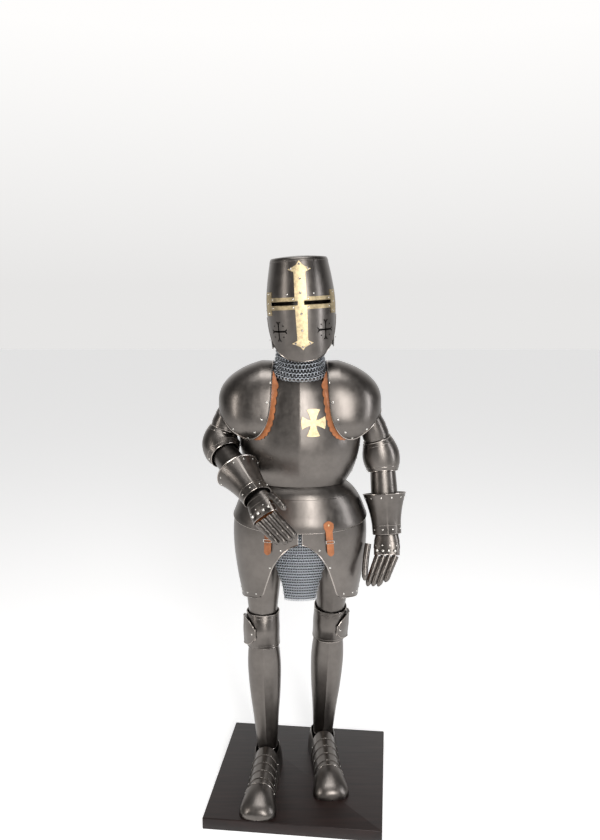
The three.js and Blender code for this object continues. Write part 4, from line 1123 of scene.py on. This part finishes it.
class ARMOUR_OT_legs(bpy.types.Operator):
    """Legs: cuisse, poleyn with its side wing, and greave of each leg"""
    bl_idname = "armour.legs"
    bl_label = "Legs"

    def execute(self, context):
        bar, rivet = sizes().rolled_edge / MM, sizes().rivet / MM
        heads = []
        for side, leg in LEGS.items():
            limb, out = leg["limb"], leg["out"]
            knee = limb.lower
            at, shell = tube(limb, GREAVE_RINGS, 70, 495, 90, 6.0)
            seams = [edge(at, angle, steps(74, 490, 70), bar * 0.45, 0.2) for angle in (-95, 95)]
            rims = join(collar_bead(at, 71, bar * 0.8), collar_bead(at, 494, bar * 0.6), *seams)
            steel(f"greave_{side}", shell, rims)
            heads.append(rivets(at, [(out * 102, s) for s in (120, 220, 330, 440)], rivet * 0.8))
            at, shell = tube(limb, POLEYN_RINGS.moved(knee), knee - 62, knee + 62, 80)
            rims = join(*(collar_bead(at, knee + s, bar * size, 0.2)
                          for s, size in ((-61, 0.8), (-50, 0.5), (50, 0.5), (61, 0.8))))
            steel(f"poleyn_{side}", shell, rims)
            heads.append(rivets(at, [(a, knee + s) for a in (-70, 70) for s in (-56, 56)], rivet * 0.7))
            at, shell = tube(limb, CUISSE_RINGS.moved(knee), knee + 44, knee + 300, 80, 3.0)
            seam = steps(knee + 48, knee + 296, 50)
            rims = join(collar_bead(at, knee + 298, bar * 0.8), edge(at, -out * 95, seam, bar * 0.45, 0.2),
                        edge(at, out * 95, seam, bar * 0.45, 0.2))
            steel(f"cuisse_{side}", shell, rims)
            heads.append(rivets(at, [(out * 102, knee + s) for s in (90, 170, 250)], rivet * 0.8))
            rings = POLEYN_RINGS.moved(knee)

            def wing(u, t, lift=0.0, rings=rings, limb=limb, knee=knee, out=out):
                angle = mix(WING["from"], WING["to"], (u + 1) / 2)
                tall = WING["half"] * np.sqrt(np.maximum(1 - u * u, 0.15))
                ridge = 5.0 * np.exp(-np.abs(u) * 5)
                return limb.at(rings, out * angle, knee + (2 * t - 1) * tall, WING["out"] + ridge + lift)

            across = out * steps(-1, 1, 60)
            shell = plate(lambda u, t: wing(out * u, t), np.sort(across), steps(0, 1, 30))
            rim_u = np.concatenate([steps(-1, 1, 50), steps(1, -1, 50)])
            rim_t = np.concatenate([np.zeros(51), np.ones(51)])
            rim = wing(rim_u, rim_t)
            middle = limb.middle(knee)
            rolled = bead(rim, unit(rim - middle), bar * 0.8, closed=True)
            steel(f"poleyn_wing_{side}", shell, rolled)
            heads.append(rivets(lambda u, t: wing(out * u, t), [(-out * 0.8, 0.5)], rivet))
        piece("leg_rivets", [("bright steel", join(*heads))])
        return {"FINISHED"}


# ---------------------------------------------------------------- feet
FOOT_RINGS = Rings("d side front back", [
    (-340, 1, 1, 0), (-335, 34, 20, 0), (-325, 52, 33, 0), (-305, 63, 47, 0), (-270, 60, 64, 0),
    (-236, 55, 73, 0)])
INSTEP_RINGS = Rings("d side front back", [
    (-244, 48, 64, 0), (-170, 49, 74, 0), (-100, 49, 86, 0), (-57, 50, 96, 0), (0, 54, 108, 0),
    (40, 44, 98, 0), (56, 28, 70, 0), (64, 1, 1, 0)])
LAMES = {"first": -244, "pitch": 37, "count": 5, "lift": 2.5}
ANKLE = {"front": -57, "back": 46, "half": 50}
SOLE = 0.4


def foot(rings, angle, d, out=0.0):
    """A point on a foot: 0 degrees is on top and 90 at the wearer's left of the sole."""
    across, ahead = on_ring(rings, np.clip(angle, -90, 90), d, out)
    return stack(across, d, ahead + SOLE)


class ARMOUR_OT_feet(bpy.types.Operator):
    """Sabatons: five overlapping lames, a heel plate and a bell-shaped toe cap on each foot"""
    bl_idname = "armour.feet"
    bl_label = "Feet"

    def execute(self, context):
        bar, rivet = sizes().rolled_edge / MM, sizes().rivet / MM
        across = steps(-90, 90, 68)

        def toe(angle, d):
            return foot(FOOT_RINGS, angle, d)

        def instep(angle, d):
            place = (d - LAMES["first"]) / LAMES["pitch"]
            on_lame = (place >= 0) & (place < LAMES["count"])
            lift = np.where(on_lame, LAMES["lift"] * (1 - (place - np.floor(place))), 0)
            return foot(INSTEP_RINGS, angle, d, lift)

        def clear_of_ankle(angle, d):
            return ~((d > ANKLE["front"]) & (d < ANKLE["back"]) & (np.abs(angle) < ANKLE["half"]))

        toes = plate(toe, across, np.concatenate([[-339.6, -338.6, -337], steps(-335, -236, 50)]))
        toe_rims = join(edge(toe, across, -238.0, bar * 0.7, 0.4), edge(toe, across, -252.0, bar * 0.4, 0.1))
        starts = LAMES["first"] + LAMES["pitch"] * np.arange(LAMES["count"])
        along = np.unique(np.concatenate([
            starts, starts + LAMES["pitch"] - 0.8, steps(-244, ANKLE["front"], 60),
            steps(ANKLE["front"], ANKLE["back"], 30), steps(ANKLE["back"], 63.6, 12)]))
        heel = plate(instep, across, along, keep=clear_of_ankle)
        rims = join(*(edge(instep, across, d + 0.6, bar * 0.4, 0.2) for d in starts[1:]))
        studs = join(rivets(instep, [(s * 62, d + 12) for s in (-1, 1) for d in starts], rivet * 0.65),
                     rivets(toe, [(s * 60, -246) for s in (-1, 1)], rivet * 0.7))
        heads = []
        for side, leg in LEGS.items():
            turn = math.radians(leg["toe"])

            def placed(points, turn=turn, far=leg["limb"].far):
                x, y, z = points.T
                return stack(x * math.cos(turn) - y * math.sin(turn) + far[0],
                             x * math.sin(turn) + y * math.cos(turn) + far[1], z)

            steel(f"toe_cap_{side}", moved(toes, placed), moved(toe_rims, placed))
            steel(f"sabaton_{side}", moved(heel, placed), moved(rims, placed))
            heads.append(moved(studs, placed))
        piece("sabaton_rivets", [("bright steel", join(*heads))])
        return {"FINISHED"}


# ---------------------------------------------------------------- base and stage
class ARMOUR_OT_base(bpy.types.Operator):
    """Wooden display base: one square board with softened edges"""
    bl_idname = "armour.base"
    bl_label = "Display base"

    def execute(self, context):
        half, top, soft = BASE["side"] / 2, BASE_TOP, BASE["bevel"]
        levels = [(0.6, 0), (0, 0.6)] + [(soft * (1 - math.cos(a)), top - soft * (1 - math.sin(a)))
                                         for a in np.linspace(0, math.pi / 2, 5)]
        loops = []
        for inset, z in levels:
            corner = []
            for quarter in range(4):
                for part in np.linspace(0, math.pi / 2, 5):
                    angle = quarter * math.pi / 2 + part
                    middle = quarter * math.pi / 2 + math.pi / 4
                    reach = half - inset - soft
                    corner.append((math.copysign(reach, math.cos(middle)) + soft * math.cos(angle),
                                   math.copysign(reach, math.sin(middle)) + soft * math.sin(angle), z))
            loops.append(corner)
        points = np.array(loops).reshape(-1, 3)
        index = np.arange(len(points)).reshape(len(levels), -1)
        wrapped = np.concatenate([index, index[:, :1]], 1)
        a, b, c, d = wrapped[:-1, :-1], wrapped[:-1, 1:], wrapped[1:, 1:], wrapped[1:, :-1]
        turn = math.radians(BASE["turn"])
        x, y, z = points.T
        points = stack(x * math.cos(turn) - y * math.sin(turn), x * math.sin(turn) + y * math.cos(turn), z)
        board = points, [stack(a, b, c, d).reshape(-1, 4).astype(int), index[-1:], index[:1, ::-1]]
        piece("display_base", [("dark wood", board)], ["display_base"], crease=50, place=False)
        return {"FINISHED"}


CAMERA = {"place": (-0.004, -2.685, 1.80), "down": 9.58, "lens": 34.29, "height": 36.0}
FLOOR = {"side": 40, "grey": 0.9, "roughness": 0.9, "glow": 0.5}
SKY = {"colour": (1.0, 0.99, 0.98, 1.0), "ahead": (0.3, 0.85, 0.13, 1.0), "up": (0.0, 0.28, 0.8, 1.0)}
LIT_POINT = (0.0, 0.0, 1.05)
# name, place in metres, width, height, watts, colour
LAMPS = (
    ("front", (0.75, -3.6, 2.5), 0.8, 2.6, 84, (1.0, 0.98, 0.96)),
    ("left", (-3.2, -2.2, 2.3), 0.5, 2.2, 30, (1.0, 0.96, 0.92)),
    ("right", (3.4, -1.4, 2.0), 0.6, 2.4, 36, (0.94, 0.96, 1.0)),
    ("top", (0.0, -0.8, 4.4), 2.0, 1.2, 45, (1.0, 1.0, 1.0)),
)


class ARMOUR_OT_stage(bpy.types.Operator):
    """Pale floor, soft studio light and the camera"""
    bl_idname = "armour.stage"
    bl_label = "Stage"

    def execute(self, context):
        bpy.ops.mesh.primitive_plane_add(size=FLOOR["side"])
        floor = context.active_object
        floor.name = "studio_floor"
        pale = Finish("pale floor", (FLOOR["grey"],) * 3, Roughness=FLOOR["roughness"],
                      Emission_Color=(1.0, 1.0, 1.0, 1.0), Emission_Strength=FLOOR["glow"])
        floor.data.materials.append(pale.material)

        world = bpy.data.worlds.new("studio")
        context.scene.world = world
        world.use_nodes = True
        nodes, wires = world.node_tree.nodes, world.node_tree.links
        way = nodes.new("ShaderNodeTexCoord")
        parts = nodes.new("ShaderNodeSeparateXYZ")
        fade, rise = (nodes.new("ShaderNodeMapRange") for _ in range(2))
        for ramp, limits in ((fade, SKY["ahead"]), (rise, SKY["up"])):
            for socket, limit in zip(("From Min", "From Max", "To Min", "To Max"), limits):
                ramp.inputs[socket].default_value = limit
        wires.new(way.outputs["Generated"], parts.inputs[0])
        wires.new(parts.outputs["Y"], fade.inputs["Value"])
        wires.new(parts.outputs["Z"], rise.inputs["Value"])
        light = nodes.new("ShaderNodeMath")
        light.operation = "MULTIPLY"
        wires.new(fade.outputs[0], light.inputs[0])
        wires.new(rise.outputs[0], light.inputs[1])
        wires.new(light.outputs[0], nodes["Background"].inputs["Strength"])
        nodes["Background"].inputs["Color"].default_value = SKY["colour"]

        for name, place, wide, tall, power, colour in LAMPS:
            lamp = bpy.data.lights.new(name, "AREA")
            lamp.shape, lamp.size, lamp.size_y = "RECTANGLE", wide, tall
            lamp.energy, lamp.color = power, colour
            made = bpy.data.objects.new(name, lamp)
            context.scene.collection.objects.link(made)
            made.location = place
            aim = np.array(LIT_POINT) - place
            made.rotation_euler = (math.acos(-aim[2] / np.linalg.norm(aim)), 0,
                                   math.atan2(-aim[0], aim[1]))

        lens = bpy.data.cameras.new("camera")
        lens.sensor_fit, lens.sensor_height, lens.lens = "VERTICAL", CAMERA["height"], CAMERA["lens"]
        camera = bpy.data.objects.new("camera", lens)
        context.scene.collection.objects.link(camera)
        camera.location = CAMERA["place"]
        camera.rotation_euler = (math.radians(90 - CAMERA["down"]), 0, 0)
        context.scene.camera = camera
        context.scene.view_settings.view_transform = "Standard"
        return {"FINISHED"}


# ---------------------------------------------------------------- panel
def colour(name, words, default):
    return FloatVectorProperty(name=name, description=words, default=default, size=3,
                               min=0.0, max=1.0, subtype="COLOR")


def length(name, words, default):
    return FloatProperty(name=name, description=words, default=default, min=0.0001, max=0.05,
                         precision=4, unit="LENGTH", subtype="DISTANCE")


class ArmourSizes(bpy.types.PropertyGroup):
    rolled_edge: length("Rolled edge", "Radius of the rolled edges of the plates", 0.0022)
    rivet: length("Rivet", "Radius of a common rivet head", 0.0038)
    mail_pitch: length("Mail pitch", "Distance between rings along a row of mail", 0.0118)
    mail_wire: length("Mail wire", "Radius of the wire of a mail ring", 0.00105)


class ArmourColours(bpy.types.PropertyGroup):
    steel: colour("Dark steel", "Colour of the darkened plates", (0.165, 0.15, 0.138))
    bright: colour("Bright steel", "Colour of rivets and keepers", (0.68, 0.66, 0.62))
    brass: colour("Brass", "Colour of the crosses and the brow band", (0.80, 0.65, 0.40))
    mail: colour("Mail", "Colour of the mail rings", (0.55, 0.58, 0.62))
    leather: colour("Leather", "Colour of the straps, trims and palms", (0.40, 0.135, 0.042))
    wood: colour("Wood", "Colour of the display base", (0.012, 0.005, 0.004))


OPERATORS = (ARMOUR_OT_helm, ARMOUR_OT_cuirass, ARMOUR_OT_mail, ARMOUR_OT_skirt, ARMOUR_OT_shoulders,
             ARMOUR_OT_arms, ARMOUR_OT_gauntlets, ARMOUR_OT_legs, ARMOUR_OT_feet, ARMOUR_OT_base,
             ARMOUR_OT_stage)


class ARMOUR_PT_panel(bpy.types.Panel):
    """Sizes, colours and pieces of the suit of armour"""
    bl_idname = "ARMOUR_PT_panel"
    bl_label = "Suit of Plate Armour"
    bl_space_type = "VIEW_3D"
    bl_region_type = "UI"
    bl_category = "Armour"

    def draw(self, context):
        for group in (context.scene.armour_sizes, context.scene.armour_colours):
            box = self.layout.box()
            for name in group.__annotations__:
                box.prop(group, name)
        for operator in OPERATORS:
            self.layout.operator(operator.bl_idname)


CLASSES = (ArmourSizes, ArmourColours, *OPERATORS, ARMOUR_PT_panel)


def register():
    for made in CLASSES:
        bpy.utils.register_class(made)
    bpy.types.Scene.armour_sizes = PointerProperty(type=ArmourSizes)
    bpy.types.Scene.armour_colours = PointerProperty(type=ArmourColours)


def unregister():
    del bpy.types.Scene.armour_colours
    del bpy.types.Scene.armour_sizes
    for made in reversed(CLASSES):
        bpy.utils.unregister_class(made)


def main():
    register()
    for operator in OPERATORS:
        group, name = operator.bl_idname.split(".")
        getattr(getattr(bpy.ops, group), name)()


if __name__ == "__main__":
    main()
